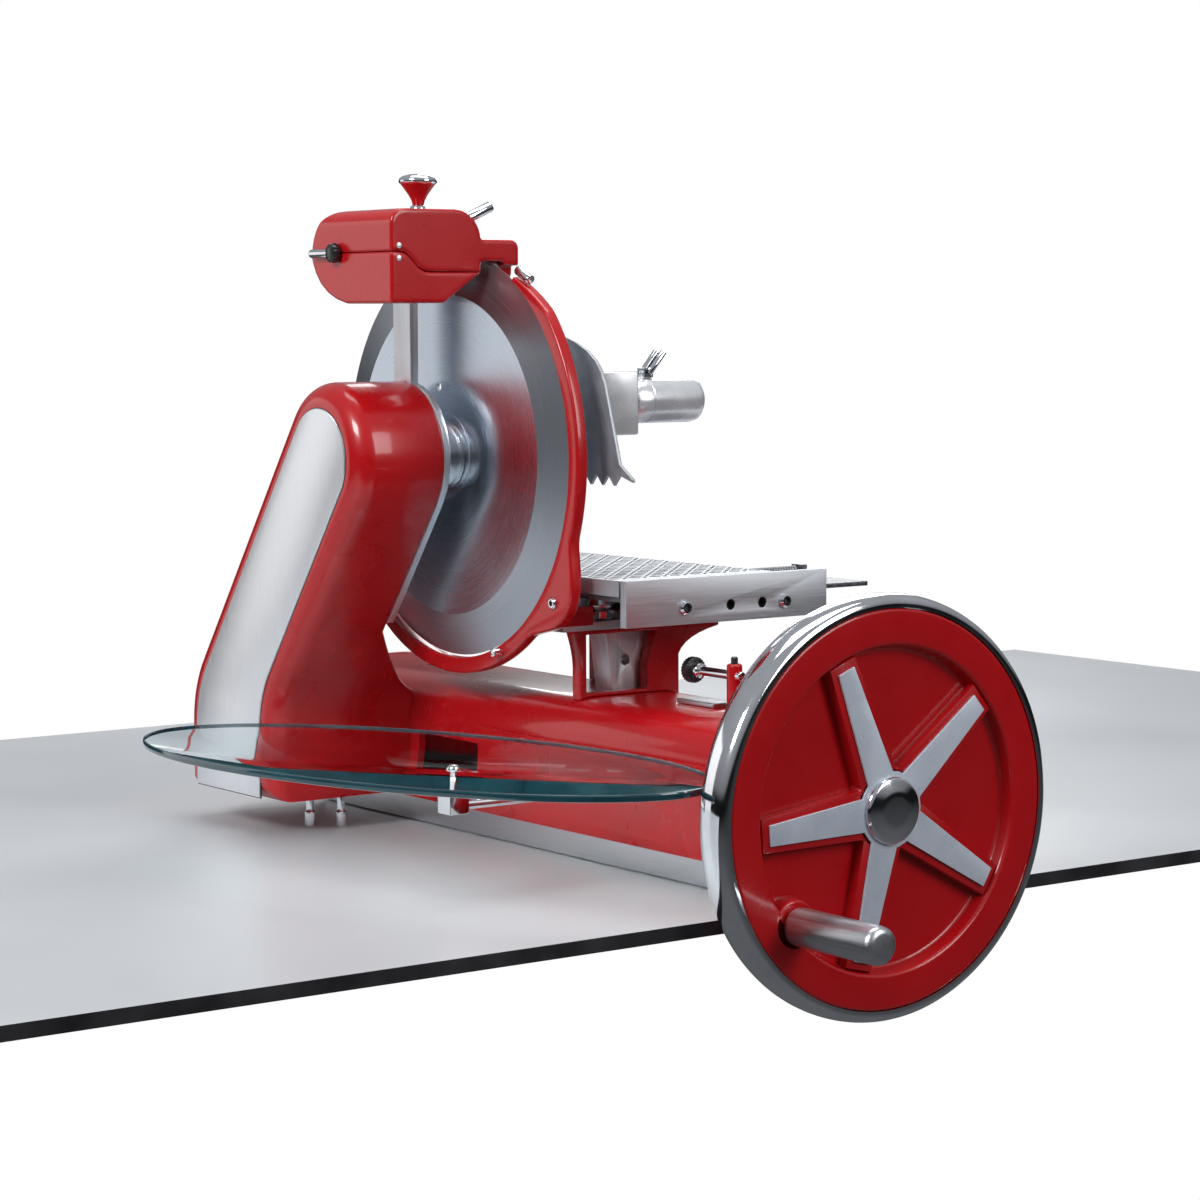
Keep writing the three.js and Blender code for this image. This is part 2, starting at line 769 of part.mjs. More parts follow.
add('bevel_gear', cut(
  joined(
    prism(
      toothedOutline(gearTip, bevelToothCount, toothDepth, 0, flywheelAxisHeight), 'x', shaftEndX,
      shaftEndX + gearFace * 0.6,
    ),
    bar(
      'x', flywheelShaftRadius + castWall, shaftEndX, shaftEndX + gearFace, 0, flywheelAxisHeight,
      roundFacets,
    ),
  ),
  bar(
    'x', flywheelShaftRadius + fitGap, shaftEndX + gearFace - fitGap, shaftEndX + gearFace + cutOverrun,
    0, flywheelAxisHeight, roundFacets,
  ),
), darkSteel);

// Cross shaft with its pinion and the lower sprocket
const pinionTip = bevelPinionRadius - runGap;
add('pinion_shaft', joined(
  bar(
    'y', crossShaftRadius, crossShaftEndY, bevelPinionY - gearFace / 2, columnFootX, flywheelAxisHeight,
    roundFacets,
  ),
  prism(
    toothedOutline(pinionTip, pinionToothCount, toothDepth, columnFootX, flywheelAxisHeight), 'y',
    bevelPinionY - gearFace, bevelPinionY - runGap,
  ),
), darkSteel);

function sprocket(name, radius, shaftRadius, teeth, x, z) {
  add(name, cut(
    prism(
      toothedOutline(radius - fitGap, teeth, toothDepth, x, z), 'y', sprocketY - sprocketWidth / 2,
      sprocketY + sprocketWidth / 2,
    ),
    bar(
      'y', shaftRadius + fitGap, sprocketY - sprocketWidth, sprocketY + sprocketWidth, x, z, roundFacets,
    ),
  ), darkSteel);
}
sprocket(
  'lower_sprocket', lowerSprocketRadius, crossShaftRadius, lowerSprocketToothCount, columnFootX,
  flywheelAxisHeight,
);
sprocket(
  'upper_sprocket', upperSprocketRadius, bladeShaftRadius, upperSprocketToothCount, bladeAxisX,
  bladeAxisHeight,
);

// Chain: a closed band round both sprockets
add('drive_chain', cut(
  prism(
    beltOutline(
      lowerSprocketRadius + fitGap + chainThickness, upperSprocketRadius + fitGap + chainThickness,
    ),
    'y', sprocketY - sprocketWidth / 2, sprocketY + sprocketWidth / 2,
  ),
  prism(
    beltOutline(lowerSprocketRadius + fitGap, upperSprocketRadius + fitGap), 'y',
    sprocketY - sprocketWidth, sprocketY + sprocketWidth,
  ),
), darkSteel);

// Blade shaft, hub and blade
const bladeFrontY = bladePlaneY - bladeDish - bladeThickness;
const hubFrontY = supportBackY + runGap;
add(
  'blade_shaft',
  bar('y', bladeShaftRadius, crossShaftEndY, hubFrontY, bladeAxisX, bladeAxisHeight, roundFacets),
  brushedSteel,
);
const hubFlange = bladeHubRadius * 0.72;
add('blade_hub', spun('y', [
  [0, hubFrontY + fitGap], [hubFlange, hubFrontY + fitGap], [
    bladeHubRadius, hubFrontY + bladeHubLength / 6,
  ],
  [bladeHubRadius, bladeFrontY - fitGap], [0, bladeFrontY - fitGap],
], bladeAxisX, bladeAxisHeight, roundFacets), chrome);
const bevelInner = bladeRadius - bevelWidth;
const bladeBack = bladeFrontY + bladeThickness;
const bladeBody = spun('y', [
  [0, bladeFrontY], [bevelInner, bladeFrontY], [bladeRadius, bladePlaneY], [
    bladeRadius, bladePlaneY + fitGap * 2,
  ],
  [bevelInner, bladeBack], [0, bladeBack],
], bladeAxisX, bladeAxisHeight, wheelFacets);
const balanceHole = bar(
  'y', balanceHoleRadius, bladeFrontY - cutOverrun, bladeBack + cutOverrun,
  bladeAxisX - bladeHubRadius * 0.35, bladeAxisHeight + bladeHubRadius * 1.9,
);
add('blade', cut(bladeBody, balanceHole), brushedSteel);

// Ring guard: an arc band round the blade's right and lower edge, on a bracket over the flange plate
const pedestalTop = baseTopHeight + (bladeAxisHeight - baseTopHeight) * pedestalRiseShare;
const flangeBottom = pedestalTop + fitGap;
const flangeTop = flangeBottom + flangeThickness;
const guardSteps = 40;

function guardPoint(radius, angle) {
  return [bladeAxisX + radius * Math.cos(angle * deg), bladeAxisHeight + radius * Math.sin(angle * deg)];
}
const guardArc = Array.from(
  { length: guardSteps + 1 },
  (_, i) => guardStartAngle + ((guardEndAngle - guardStartAngle) * i) / guardSteps,
);
const lobeHalfAngle = guardLobeSpanAngle / 2;
const guardOuterAt = (angle) => {
  const near = Math.max(0, 1 - ((angle - guardLobeAngle) / lobeHalfAngle) ** 2);
  const toTip = Math.min(1, (guardStartAngle - angle) / guardTaperAngle);
  return guardInner + guardTipWidth + (guardWidth - guardTipWidth) * toTip + guardLobeReach * near * near;
};
const guardBand = prism([
  ...guardArc.map((a) => guardPoint(guardOuterAt(a), a)),
  ...guardArc.slice().reverse().map((a) => guardPoint(guardInner, a)),
], 'y', guardFrontY, guardBackY);
const bracketBottom = flangeTop + fitGap;
const bracketTop = bracketBottom + guardBracketHeight;
const guardMid = (guardInner + guardOuter) / 2;
const bracketX = bladeAxisX + Math.sqrt(
  guardMid ** 2 - (bladeAxisHeight - bracketTop) ** 2,
) - guardBracketLead;
const guardBracket = block(
  bracketX, bracketX + guardBracketLength,
  guardBackY - guardThickness / 2, flangeFrontY + guardBracketSeat,
  bracketBottom, bracketTop,
);
const bladeClear = bar(
  'y', guardInner, guardFrontY - cutOverrun, flangeFrontY, bladeAxisX, bladeAxisHeight, wheelFacets,
);
add('ring_guard', joined(guardBand, guardBracket.subtract(bladeClear)), redPaint);

// Stud lying on the guard's upper end, and the pin low on its front
const studAngle = guardStartAngle - studSetbackAngle;
const studGeometry = new THREE.CylinderGeometry(
  guardStudRadius, guardStudRadius, guardStudLength, smallFacets,
);
studGeometry.rotateZ((studAngle + studLeanAngle) * deg);
studGeometry.applyMatrix4(frames.y);
const studAt = guardPoint(guardOuterAt(studAngle) + guardStudRadius + fitGap * 2, studAngle);
studGeometry.translate(studAt[0], bladePlaneY, studAt[1]);
add('guard_stud', toSolid(studGeometry), chrome);
const pinAt = guardPoint(guardMid, guardPinAngle);
add(
  'guard_pin',
  bar(
    'y', guardStudRadius * 0.8, guardFrontY - guardStudLength / 2, guardFrontY - fitGap, pinAt[0],
    pinAt[1],
  ),
  chrome,
);

// Sharpener: lower shell and upper cover share one outline, parted at a stepped seam
const sharpenerBackY = bladeFrontY - sharpenerBladeGap;
const sharpenerSeamFront = sharpenerBottom + seamFrontRise;
const sharpenerSeamSide = sharpenerBottom + seamSideRise;

function sharpenerEnd(offset) {
  const left = sharpenerLeftX + offset;
  const right = sharpenerRightX - offset;
  const bottom = sharpenerBottom + offset;
  const top = sharpenerTop - offset;
  const r = sharpenerEndRadius - offset;
  const shape = new THREE.Shape();
  shape.moveTo(right, bottom);
  shape.lineTo(right, top);
  shape.lineTo(left + r, top);
  shape.absarc(left + r, top - r, r, Math.PI / 2, Math.PI, false);
  shape.lineTo(left, bottom + r);
  shape.quadraticCurveTo(left + r * 0.3, bottom + r * 0.18, left + r * 1.5, bottom);
  shape.closePath();
  return shape;
}

function sharpenerSide(offset) {
  const front = sharpenerFrontY + offset;
  const back = sharpenerBackY - offset;
  const bottom = sharpenerBottom + offset;
  const top = sharpenerTop - offset;
  const r = sharpenerCrownRadius - offset;
  const shape = new THREE.Shape();
  shape.moveTo(front, bottom);
  shape.lineTo(back - sharpenerEndRadius, bottom);
  shape.lineTo(back, sharpenerSeamSide);
  shape.lineTo(back, top - r);
  shape.absarc(back - r, top - r, r, 0, Math.PI / 2, false);
  shape.lineTo(front + r / 2, top);
  shape.absarc(front + r / 2, top - r / 2, r / 2, Math.PI / 2, Math.PI, false);
  shape.closePath();
  return shape;
}

function sharpenerBody(offset) {
  const end = prism(
    sharpenerEnd(offset), 'y', sharpenerFrontY - cutOverrun, sharpenerBackY + cutOverrun, 5,
  );
  const side = prism(
    sharpenerSide(offset), 'x', sharpenerLeftX - cutOverrun, sharpenerRightX + cutOverrun, 5,
  );
  return end.intersect(side);
}
const seamStepStart = sharpenerFrontY + sharpenerEndRadius * 0.2;
const seamStepEnd = seamStepStart + sharpenerEndRadius * 0.8;

function seamTool(shift) {
  const far = sharpenerTop + cutOverrun;
  const shape = new THREE.Shape();
  shape.moveTo(sharpenerFrontY - cutOverrun * 2, sharpenerSeamFront + shift);
  shape.lineTo(seamStepStart, sharpenerSeamFront + shift);
  shape.bezierCurveTo(
    (seamStepStart + seamStepEnd) / 2, sharpenerSeamFront + shift,
    (seamStepStart + seamStepEnd) / 2, sharpenerSeamSide + shift,
    seamStepEnd, sharpenerSeamSide + shift,
  );
  shape.lineTo(sharpenerBackY + cutOverrun * 2, sharpenerSeamSide + shift);
  shape.lineTo(sharpenerBackY + cutOverrun * 2, far);
  shape.lineTo(sharpenerFrontY - cutOverrun * 2, far);
  shape.closePath();
  return prism(shape, 'x', sharpenerLeftX - cutOverrun, sharpenerRightX + cutOverrun, 8);
}
const rimHeightAt = (x) => bladeAxisHeight + Math.sqrt(bladeRadius ** 2 - (x - bladeAxisX) ** 2);
const sharpenerShell = sharpenerBody(0).subtract(sharpenerBody(sharpenerWall));
const sharpenerRoomBackY = sharpenerBackY - sharpenerWall;

// Grinding stone: in front of the blade, through a round opening in the housing's back wall
const stoneX = bladeAxisX + stoneRadius * 0.75;
const stoneZ = rimHeightAt(stoneX) - stoneSink;
const stoneBackY = bladeFrontY - runGap;
const stoneFrontY = stoneBackY - stoneThickness;
const stoneOpening = bar(
  'y', stoneRadius + runGap, stoneFrontY - runGap, sharpenerBackY + cutOverrun, stoneX, stoneZ,
  roundFacets,
);
const grindingPin = bar(
  'y', stoneSpindleRadius, sharpenerFrontY + sharpenerWall / 2, stoneBackY, stoneX, stoneZ,
);
const postSlot = block(
  postCentreX - postWidth / 2 - fitGap, postCentreX + postWidth / 2 + fitGap,
  supportBackY - postThickness - fitGap, supportBackY + fitGap,
  sharpenerBottom - cutOverrun, postTop + cutOverrun,
);
const endKnobX = sharpenerLeftX + endKnobInset;
const endKnobZ = sharpenerSeamFront + fitGap / 2;
const endKnobBore = bar(
  'y', endKnobRadius / 2 + fitGap, sharpenerFrontY - cutOverrun,
  sharpenerFrontY + sharpenerWall + cutOverrun, endKnobX, endKnobZ,
);
add(
  'sharpener_lower_shell', cut(
    sharpenerShell, seamTool(0), stoneOpening, postSlot, endKnobBore,
  ).add(grindingPin),
  redPaint,
);

// Upper cover: an arm from its back wall arches over the rim to a tab behind the blade
const noseTop = sharpenerBottom + noseRise;
const noseLeft = sharpenerRightX - noseWidth;
const noseBackY = sharpenerBackY + noseReach;
const noseTabY = noseBackY - noseTabDepth;
const honingX = sharpenerRightX - noseWidth * 0.6;
const honingZ = rimHeightAt(honingX) - honingRadius;
const honingFrontY = noseTabY - runGap - stoneThickness;
const noseOutline = new THREE.Shape();
noseOutline.moveTo(sharpenerRoomBackY, noseTop - noseHeight);
noseOutline.lineTo(noseBackY, noseTop - noseHeight);
noseOutline.lineTo(noseBackY, noseTop - noseHeight / 3);
noseOutline.absarc(
  noseBackY - noseHeight / 3, noseTop - noseHeight / 3, noseHeight / 3, 0, Math.PI / 2, false,
);
noseOutline.lineTo(sharpenerRoomBackY, noseTop);
noseOutline.closePath();
const noseArch = bar(
  'y', bladeRadius + sharpenerBladeGap, sharpenerRoomBackY - cutOverrun, noseTabY, bladeAxisX,
  bladeAxisHeight, wheelFacets,
);
const noseTab = joined(
  bar('y', noseTabRadius, noseTabY, noseBackY, honingX, honingZ, roundFacets),
  block(
    honingX - noseTabRadius, honingX + noseTabRadius, noseTabY, noseBackY, honingZ,
    noseTop - noseHeight / 2,
  ),
);
const nose = joined(
  prism(noseOutline, 'x', noseLeft, sharpenerRightX, 5).subtract(noseArch), noseTab,
);
const honingPin = bar('y', stoneSpindleRadius, honingFrontY, noseTabY + cutOverrun, honingX, honingZ);
const knobX = (sharpenerLeftX + sharpenerRightX) / 2 + knobOffset;
const knobY = (sharpenerFrontY + sharpenerBackY) / 2;
const knobStemRadius = knobRadius * 0.28;
const knobBore = bar(
  'z', knobStemRadius + fitGap, sharpenerTop - sharpenerWall - cutOverrun, sharpenerTop + cutOverrun,
  knobX, knobY,
);
const lockPinX = sharpenerRightX - sharpenerWall * 2.4;
const lockPinY = sharpenerBackY - sharpenerCrownRadius * 0.3;
const lockPinZ = sharpenerTop - sharpenerCrownRadius * 0.3;
const lockPinSunk = sharpenerWall * 2;
function lockPin(radius) {
  const geometry = new THREE.CylinderGeometry(radius, radius, lockPinLength + lockPinSunk, roundFacets);
  geometry.rotateX(Math.PI / 2);
  geometry.translate(0, 0, (lockPinLength - lockPinSunk) / 2);
  geometry.rotateX(-lockPinTiltAngle * deg);
  geometry.translate(lockPinX, lockPinY, lockPinZ);
  return toSolid(geometry);
}
const coverSolid = joined(
  sharpenerShell.intersect(seamTool(fitGap)), nose,
);
add(
  'sharpener_cover',
  cut(coverSolid, knobBore, stoneOpening, endKnobBore, lockPin(lockPinRadius + fitGap)).add(honingPin),
  redPaint,
);

// Top knob: trumpet with a domed cap
add('sharpener_top_knob', spun('z', [
  [0, sharpenerTop - sharpenerWall], [knobStemRadius, sharpenerTop - sharpenerWall], [
    knobStemRadius, sharpenerTop + knobHeight * 0.15,
  ],
  [
    knobRadius * 0.42, sharpenerTop + knobHeight * 0.35,
  ], [knobRadius * 0.85, sharpenerTop + knobHeight * 0.72],
  [knobRadius, sharpenerTop + knobHeight * 0.82], [
    knobRadius * 0.85, sharpenerTop + knobHeight * 0.95,
  ], [0, sharpenerTop + knobHeight],
], knobX, knobY, roundFacets), chrome);

// Slanted lock pin at the back of the cover, in its own bore
add('sharpener_lock_pin', lockPin(lockPinRadius), chrome);

// End knob on the front face, with its cross bar to the left
const endKnobFront = sharpenerFrontY - endKnobRadius;
add('sharpener_end_knob', joined(
  bar('y', endKnobRadius, endKnobFront, sharpenerFrontY - fitGap, endKnobX, endKnobZ, smallFacets),
  bar(
    'y', endKnobRadius / 2, endKnobFront, sharpenerFrontY + sharpenerWall, endKnobX, endKnobZ,
    smallFacets,
  ),
  bar(
    'x', endKnobRadius * 0.45, endKnobX - knobBarLength, endKnobX, endKnobFront + endKnobRadius * 0.5,
    endKnobZ,
  ),
), blackPlastic);

// Stones on short spindles either side of the blade's edge
function stone(name, radius, front, x, z) {
  const bore = stoneSpindleRadius + fitGap;
  const back = front + stoneThickness;
  add(name, spun('y', [
    [bore, front], [radius, front], [radius, back], [bore, back], [bore, front],
  ], x, z, roundFacets), stoneGrey);
}
stone('honing_stone', honingRadius, honingFrontY, honingX, honingZ);
stone('grinding_stone', stoneRadius, stoneFrontY, stoneX, stoneZ);

// Flywheel: disc with a dished face and raised spokes, chrome rim, hub cap, inlays, pin and grip
const rimInner = flywheelRadius - rimBand;
const spokeTop = flywheelFaceX - spokeInlayDepth;
const discBody = spun('x', [
  [0, discBackX], [dishRadius - castWall, discBackX], [dishRadius, flywheelBackX + castWall], [
    rimInner - fitGap, flywheelBackX + castWall,
  ],
  [rimInner - fitGap, flywheelFaceX], [dishRadius, flywheelFaceX], [
    dishRadius - castWall / 2, flywheelFaceX - dishDepth,
  ], [0, flywheelFaceX - dishDepth],
], 0, flywheelAxisHeight, wheelFacets);

function spokeOutline(angle, rootWidth, tipWidth, inner, outer) {
  const direction = new THREE.Vector2(Math.cos(angle * deg), Math.sin(angle * deg));
  const side = new THREE.Vector2(-direction.y, direction.x);
  const at = (out, across) => [
    direction.x * out + side.x * across, flywheelAxisHeight + direction.y * out + side.y * across,
  ];
  return [
    at(inner, -rootWidth / 2), at(outer, -tipWidth / 2), at(outer, tipWidth / 2),
    at(inner, rootWidth / 2),
  ];
}
const spokeAngles = Array.from(
  { length: spokeCount }, (_, i) => crankAngle + 180 + (360 / spokeCount) * i,
);
const spokeOuter = dishRadius - castWall / 2;
const spokes = spokeAngles.map(
  (a) => prism(
    spokeOutline(a, spokeRootWidth, spokeTipWidth, 0, spokeOuter), 'x',
    flywheelFaceX - dishDepth - cutOverrun, spokeTop,
  ),
);
const hubBoss = bar('x', hubRadius, discBackX, spokeTop, 0, flywheelAxisHeight, roundFacets);
const crankY = crankRadius * Math.cos(crankAngle * deg);
const crankZ = flywheelAxisHeight + crankRadius * Math.sin(crankAngle * deg);
const crankBossBack = flywheelBackX + castWall;
const crankBoss = bar('x', gripRadius * 1.3, crankBossBack, flywheelFaceX, crankY, crankZ, roundFacets);
const shaftBore = bar(
  'x', flywheelShaftRadius + fitGap, discBackX - cutOverrun, shaftFrontX + fitGap, 0, flywheelAxisHeight,
  roundFacets,
);
const crankBore = bar(
  'x', crankPinRadius + fitGap, flywheelBackX - cutOverrun, flywheelFaceX + cutOverrun, crankY, crankZ,
);
add(
  'flywheel_disc', cut(joined(discBody, ...spokes, hubBoss, crankBoss), shaftBore, crankBore), redPaint,
);

const rimMid = flywheelFaceX - flywheelWidth / 2;
const rimHalf = flywheelWidth / 2;
const rimSteps = 6;
const rimProfile = Array.from({ length: rimSteps + 1 }, (_, i) => {
  const angle = -Math.PI / 2 + (Math.PI * i) / rimSteps;
  return [
    rimInner + rimBand * Math.max(0.25, Math.cos(angle) ** 0.5), rimMid + rimHalf * Math.sin(angle),
  ];
});
add(
  'flywheel_rim',
  spun(
    'x',
    [
      [rimInner, rimMid - rimHalf], ...rimProfile, [rimInner, rimMid + rimHalf],
      [rimInner, rimMid - rimHalf],
    ],
    0, flywheelAxisHeight, wheelFacets,
  ),
  chrome,
);

const inlayInset = spokeTipWidth * 0.2;
const inlayBack = spokeTop + fitGap;
const inlayFront = inlayBack + spokeInlayDepth;
const inlayArms = spokeAngles.map((a) => {
  const outline = spokeOutline(
    a, spokeRootWidth - inlayInset * 2, spokeTipWidth - inlayInset * 2, 0, spokeOuter - inlayInset,
  );
  return prism(outline, 'x', inlayBack, inlayFront);
});
add(
  'spoke_inlay',
  joined(
    ...inlayArms, bar('x', hubRadius * 0.9, inlayBack, inlayFront, 0, flywheelAxisHeight, roundFacets),
  ),
  inlayBlue,
);
const capBack = inlayFront + fitGap;
add('flywheel_hub_cap', spun('x', [
  [0, capBack], [hubRadius * 0.8, capBack], [
    hubRadius * 0.75, capBack + castWall * 0.6,
  ], [hubRadius * 0.4, capBack + castWall], [0, capBack + castWall],
], 0, flywheelAxisHeight, roundFacets), chrome);

const gripStart = flywheelFaceX + runGap * 3;
const gripEnd = gripStart + gripLength;
const pinHeadRadius = crankPinRadius * 1.8;
const pinHeadDepth = crankPinRadius;
add('crank_pin', joined(
  bar('x', crankPinRadius, crankBossBack - pinHeadDepth, gripEnd - pinHeadDepth, crankY, crankZ),
  bar('x', pinHeadRadius, crankBossBack - pinHeadDepth, crankBossBack - fitGap, crankY, crankZ),
), brushedSteel);
const gripCorner = gripRadius * 0.25;
const gripBore = crankPinRadius + runGap / 2;
add('crank_grip', spun('x', [
  [gripBore, gripStart], [gripRadius - gripCorner, gripStart], [gripRadius, gripStart + gripCorner],
  [gripRadius, gripEnd - gripCorner], [gripRadius - gripCorner, gripEnd], [0, gripEnd], [
    0, gripEnd - pinHeadDepth + runGap,
  ],
  [gripBore, gripEnd - pinHeadDepth + runGap], [gripBore, gripStart],
], crankY, crankZ, roundFacets), brushedSteel);

// Pedestal: a waisted casting with a window through it, seated on the base
const pedestalBottom = baseTopHeight - castWall * 3;
const pedestalWaist = pedestalTop - (pedestalTop - baseTopHeight) * 0.45;
const pedestalShape = new THREE.Shape();
pedestalShape.moveTo(pedestalFrontY, pedestalBottom);
pedestalShape.lineTo(pedestalBackY, pedestalBottom);
pedestalShape.lineTo(pedestalBackY, pedestalWaist);
pedestalShape.quadraticCurveTo(
  pedestalBackY + castWall, pedestalTop - castWall * 1.5, pedestalTopBackY, pedestalTop - castWall / 2,
);
pedestalShape.lineTo(pedestalTopBackY, pedestalTop);
pedestalShape.lineTo(pedestalTopFrontY, pedestalTop);
pedestalShape.quadraticCurveTo(
  pedestalFrontY, pedestalWaist + castWall, pedestalFrontY, pedestalWaist - castWall,
);
pedestalShape.closePath();
const pedestalSkin = prism(pedestalShape, 'x', pedestalLeftX, pedestalRightX, 6);
const frameLeftX = pedestalRightX - pedestalFrameThickness;
const behindFrame = block(
  pedestalLeftX - cutOverrun, frameLeftX, pedestalTopFrontY - cutOverrun, pedestalSpineY,
  pedestalBottom - cutOverrun, pedestalTop + cutOverrun,
);
const windowBottomZ = baseTopHeight + castWall / 2;
const windowTopZ = pedestalTop - castWall / 2;
const windowLeftY = pedestalFrontY + castWall;
const windowRightY = windowLeftY + pedestalWindowWidth;
const pedestalWindow = prism([
  [windowLeftY, windowBottomZ], [windowRightY, windowBottomZ], [windowRightY, pedestalWaist - castWall],
  [windowRightY + castWall * 1.5, windowTopZ], [windowLeftY, windowTopZ],
], 'x', frameLeftX - cutOverrun, pedestalRightX + cutOverrun);
const baseClear = prism(baseSection(-fitGap, baseBottom), 'x', -halfLength, halfLength, 6);
add('pedestal_casting', cut(pedestalSkin, baseClear, behindFrame, pedestalWindow), redPaint);

// Guide block behind the window, standing on the base
const guideRight = frameLeftX - fitGap;
const guideBottom = baseTopHeight + fitGap;
const guideTop = pedestalTop - runGap;
const guideCentreY = (windowLeftY + windowRightY) / 2 + pedestalFrameThickness * 1.5;
add('guide_block', cut(
  prism([
    [guideCentreY - guideBlockWidth / 3, guideBottom], [guideCentreY + guideBlockWidth / 3, guideBottom],
    [guideCentreY + guideBlockWidth / 2, guideTop], [guideCentreY - guideBlockWidth / 2, guideTop],
  ], 'x', guideRight - guideBlockDepth, guideRight),
  bar(
    'x', barHoleRadius, guideRight - guideBlockDepth - cutOverrun, guideRight + cutOverrun, guideCentreY,
    (guideBottom + guideTop) / 2,
  ),
), paleAluminium);

// Flange plate with the roller pins
const rollerBottom = flangeTop + runGap;
const rollerTop = rollerBottom + rollerHeight;
const rollerMid = (rollerBottom + rollerTop) / 2;
const rollerPlaces = [
  [
    'front_right', rollerCentreX + rollerSpacing / 2, rollerFrontY,
  ], ['front_left', rollerCentreX - rollerSpacing / 2, rollerFrontY],
  [
    'rear_right', rollerCentreX + rollerSpacing / 2, rollerBackY,
  ], ['rear_left', rollerCentreX - rollerSpacing / 2, rollerBackY],
];
const rollerPins = rollerPlaces.map(
  ([, x, y]) => bar('z', rollerPinRadius, flangeTop - cutOverrun / 2, rollerTop - runGap, x, y),
);
add('flange_plate', joined(
  block(
    pedestalLeftX - castWall, pedestalRightX + flangeOverhang, flangeFrontY, flangeBackY, flangeBottom,
    flangeTop,
  ),
  ...rollerPins,
), brushedSteel);
const grooveRadius = rollerRadius - rollerGroove;
rollerPlaces.forEach(([name, x, y]) => {
  const bore = rollerPinRadius + fitGap;
  add(`guide_roller_${name}`, spun('z', [
    [bore, rollerBottom], [rollerRadius, rollerBottom], [
      rollerRadius, rollerMid - rollerGroove,
    ], [grooveRadius, rollerMid],
    [
      rollerRadius, rollerMid + rollerGroove,
    ], [rollerRadius, rollerTop], [bore, rollerTop], [bore, rollerBottom],
  ], x, y, roundFacets - 8), chrome);
});

// Carriage: two rails with a V edge in the roller grooves, a plate on top, the end block and the end bar
const carriageTop = pedestalTop + carriageRise;
const carriageBottom = carriageTop - carriageThickness;
const railTop = carriageBottom - fitGap;
const railBottom = rollerMid - rollerGroove * 2;
const endBlockLeft = carriageRightX - endBlockLength;
function rail(name, edgeY, inward) {
  const tip = edgeY - inward * rollerGroove;
  const inner = edgeY + inward * railWidth;
  const outline = [
    [inner, railBottom], [edgeY, railBottom], [edgeY, rollerMid - rollerGroove], [tip, rollerMid],
    [edgeY, rollerMid + rollerGroove], [edgeY, railTop], [inner, railTop],
  ];
  const ordered = inward > 0 ? outline.reverse() : outline;
  add(name, prism(ordered, 'x', railLeftX, endBlockLeft - fitGap), brushedSteel);
}
const frontRailEdge = rollerFrontY + rollerRadius + runGap;
const backRailEdge = rollerBackY - rollerRadius - runGap;
rail('carriage_rail_front', frontRailEdge, 1);
rail('carriage_rail_rear', backRailEdge, -1);
add(
  'carriage_end_block',
  block(
    endBlockLeft, carriageRightX, frontRailEdge - railWidth, rollerBackY + railWidth, railBottom, railTop,
  ),
  brushedSteel,
);
const screwZ = carriageTop + fitGap * 3 + feedScrewRadius + runGap;
const screwBlockHalf = feedScrewRadius * 2;
const screwBlock = cut(
  block(
    feedScrewX - screwBlockHalf, feedScrewX + screwBlockHalf, carriageBackY - castWall, carriageBackY,
    carriageBottom, screwZ + feedScrewRadius + runGap,
  ),
  bar(
    'y', feedScrewRadius + fitGap, carriageBackY - castWall * 2, carriageBackY - castWall / 4, feedScrewX,
    screwZ,
  ),
);
add(
  'carriage_plate',
  block(
    carriageLeftX, carriageRightX, carriageFrontY, carriageBackY, carriageBottom, carriageTop,
  ).add(screwBlock),
  darkSteel,
);
const endBarLeft = carriageRightX + fitGap;
const endBarRight = endBarLeft + endBarThickness;
const tableTop = carriageTop + tableHeight;
const barHoleHeight = carriageTop - barHoleDrop;
add('carriage_end_bar', cut(
  block(
    endBarLeft, endBarRight, carriageFrontY, carriageFrontY + endBarLength, carriageTop - endBarDrop,
    tableTop,
  ),
  ...[barHoleFrontY, barHoleBackY].map(
    (y) => bar('x', barHoleRadius, endBarLeft - cutOverrun, endBarRight + cutOverrun, y, barHoleHeight),
  ),
), brushedSteel);

// Food table: a tread plate tray, open underneath, sliding on the carriage plate
const tableBottom = carriageTop + fitGap;
const tableRight = carriageRightX - runGap;
const tableSkin = block(carriageLeftX, tableRight, tableFrontY, tableBackY, tableBottom, tableTop);
const tableRoom = block(
  carriageLeftX + tableWall, tableRight - tableWall, tableFrontY + tableWall, tableBackY - tableWall,
  tableBottom - cutOverrun, tableTop - tableWall,
);
const nutHalf = feedScrewRadius * 2.2;
const nutY = tableBackY - tableWall - nutHalf;
const feedNut = block(
  feedScrewX - nutHalf, feedScrewX + nutHalf, nutY - nutHalf, tableBackY - tableWall / 2,
  tableBottom + fitGap, tableTop - tableWall / 2,
);
const nutBore = bar(
  'y', feedScrewRadius + fitGap, tableFrontY - cutOverrun, tableBackY + cutOverrun, feedScrewX, screwZ,
);
const frontSlot = block(
  feedScrewX - feedScrewRadius - fitGap, feedScrewX + feedScrewRadius + fitGap, tableFrontY - cutOverrun,
  tableFrontY + tableWall + cutOverrun, tableBottom - cutOverrun, screwZ,
);
add('food_table', cut(joined(tableSkin.subtract(tableRoom), feedNut), nutBore, frontSlot), paleAluminium);
add(
  'feed_screw',
  bar(
    'y', feedScrewRadius, tableFrontY + tableWall + castWall, carriageBackY - castWall / 2, feedScrewX,
    screwZ,
  ),
  brushedSteel,
);

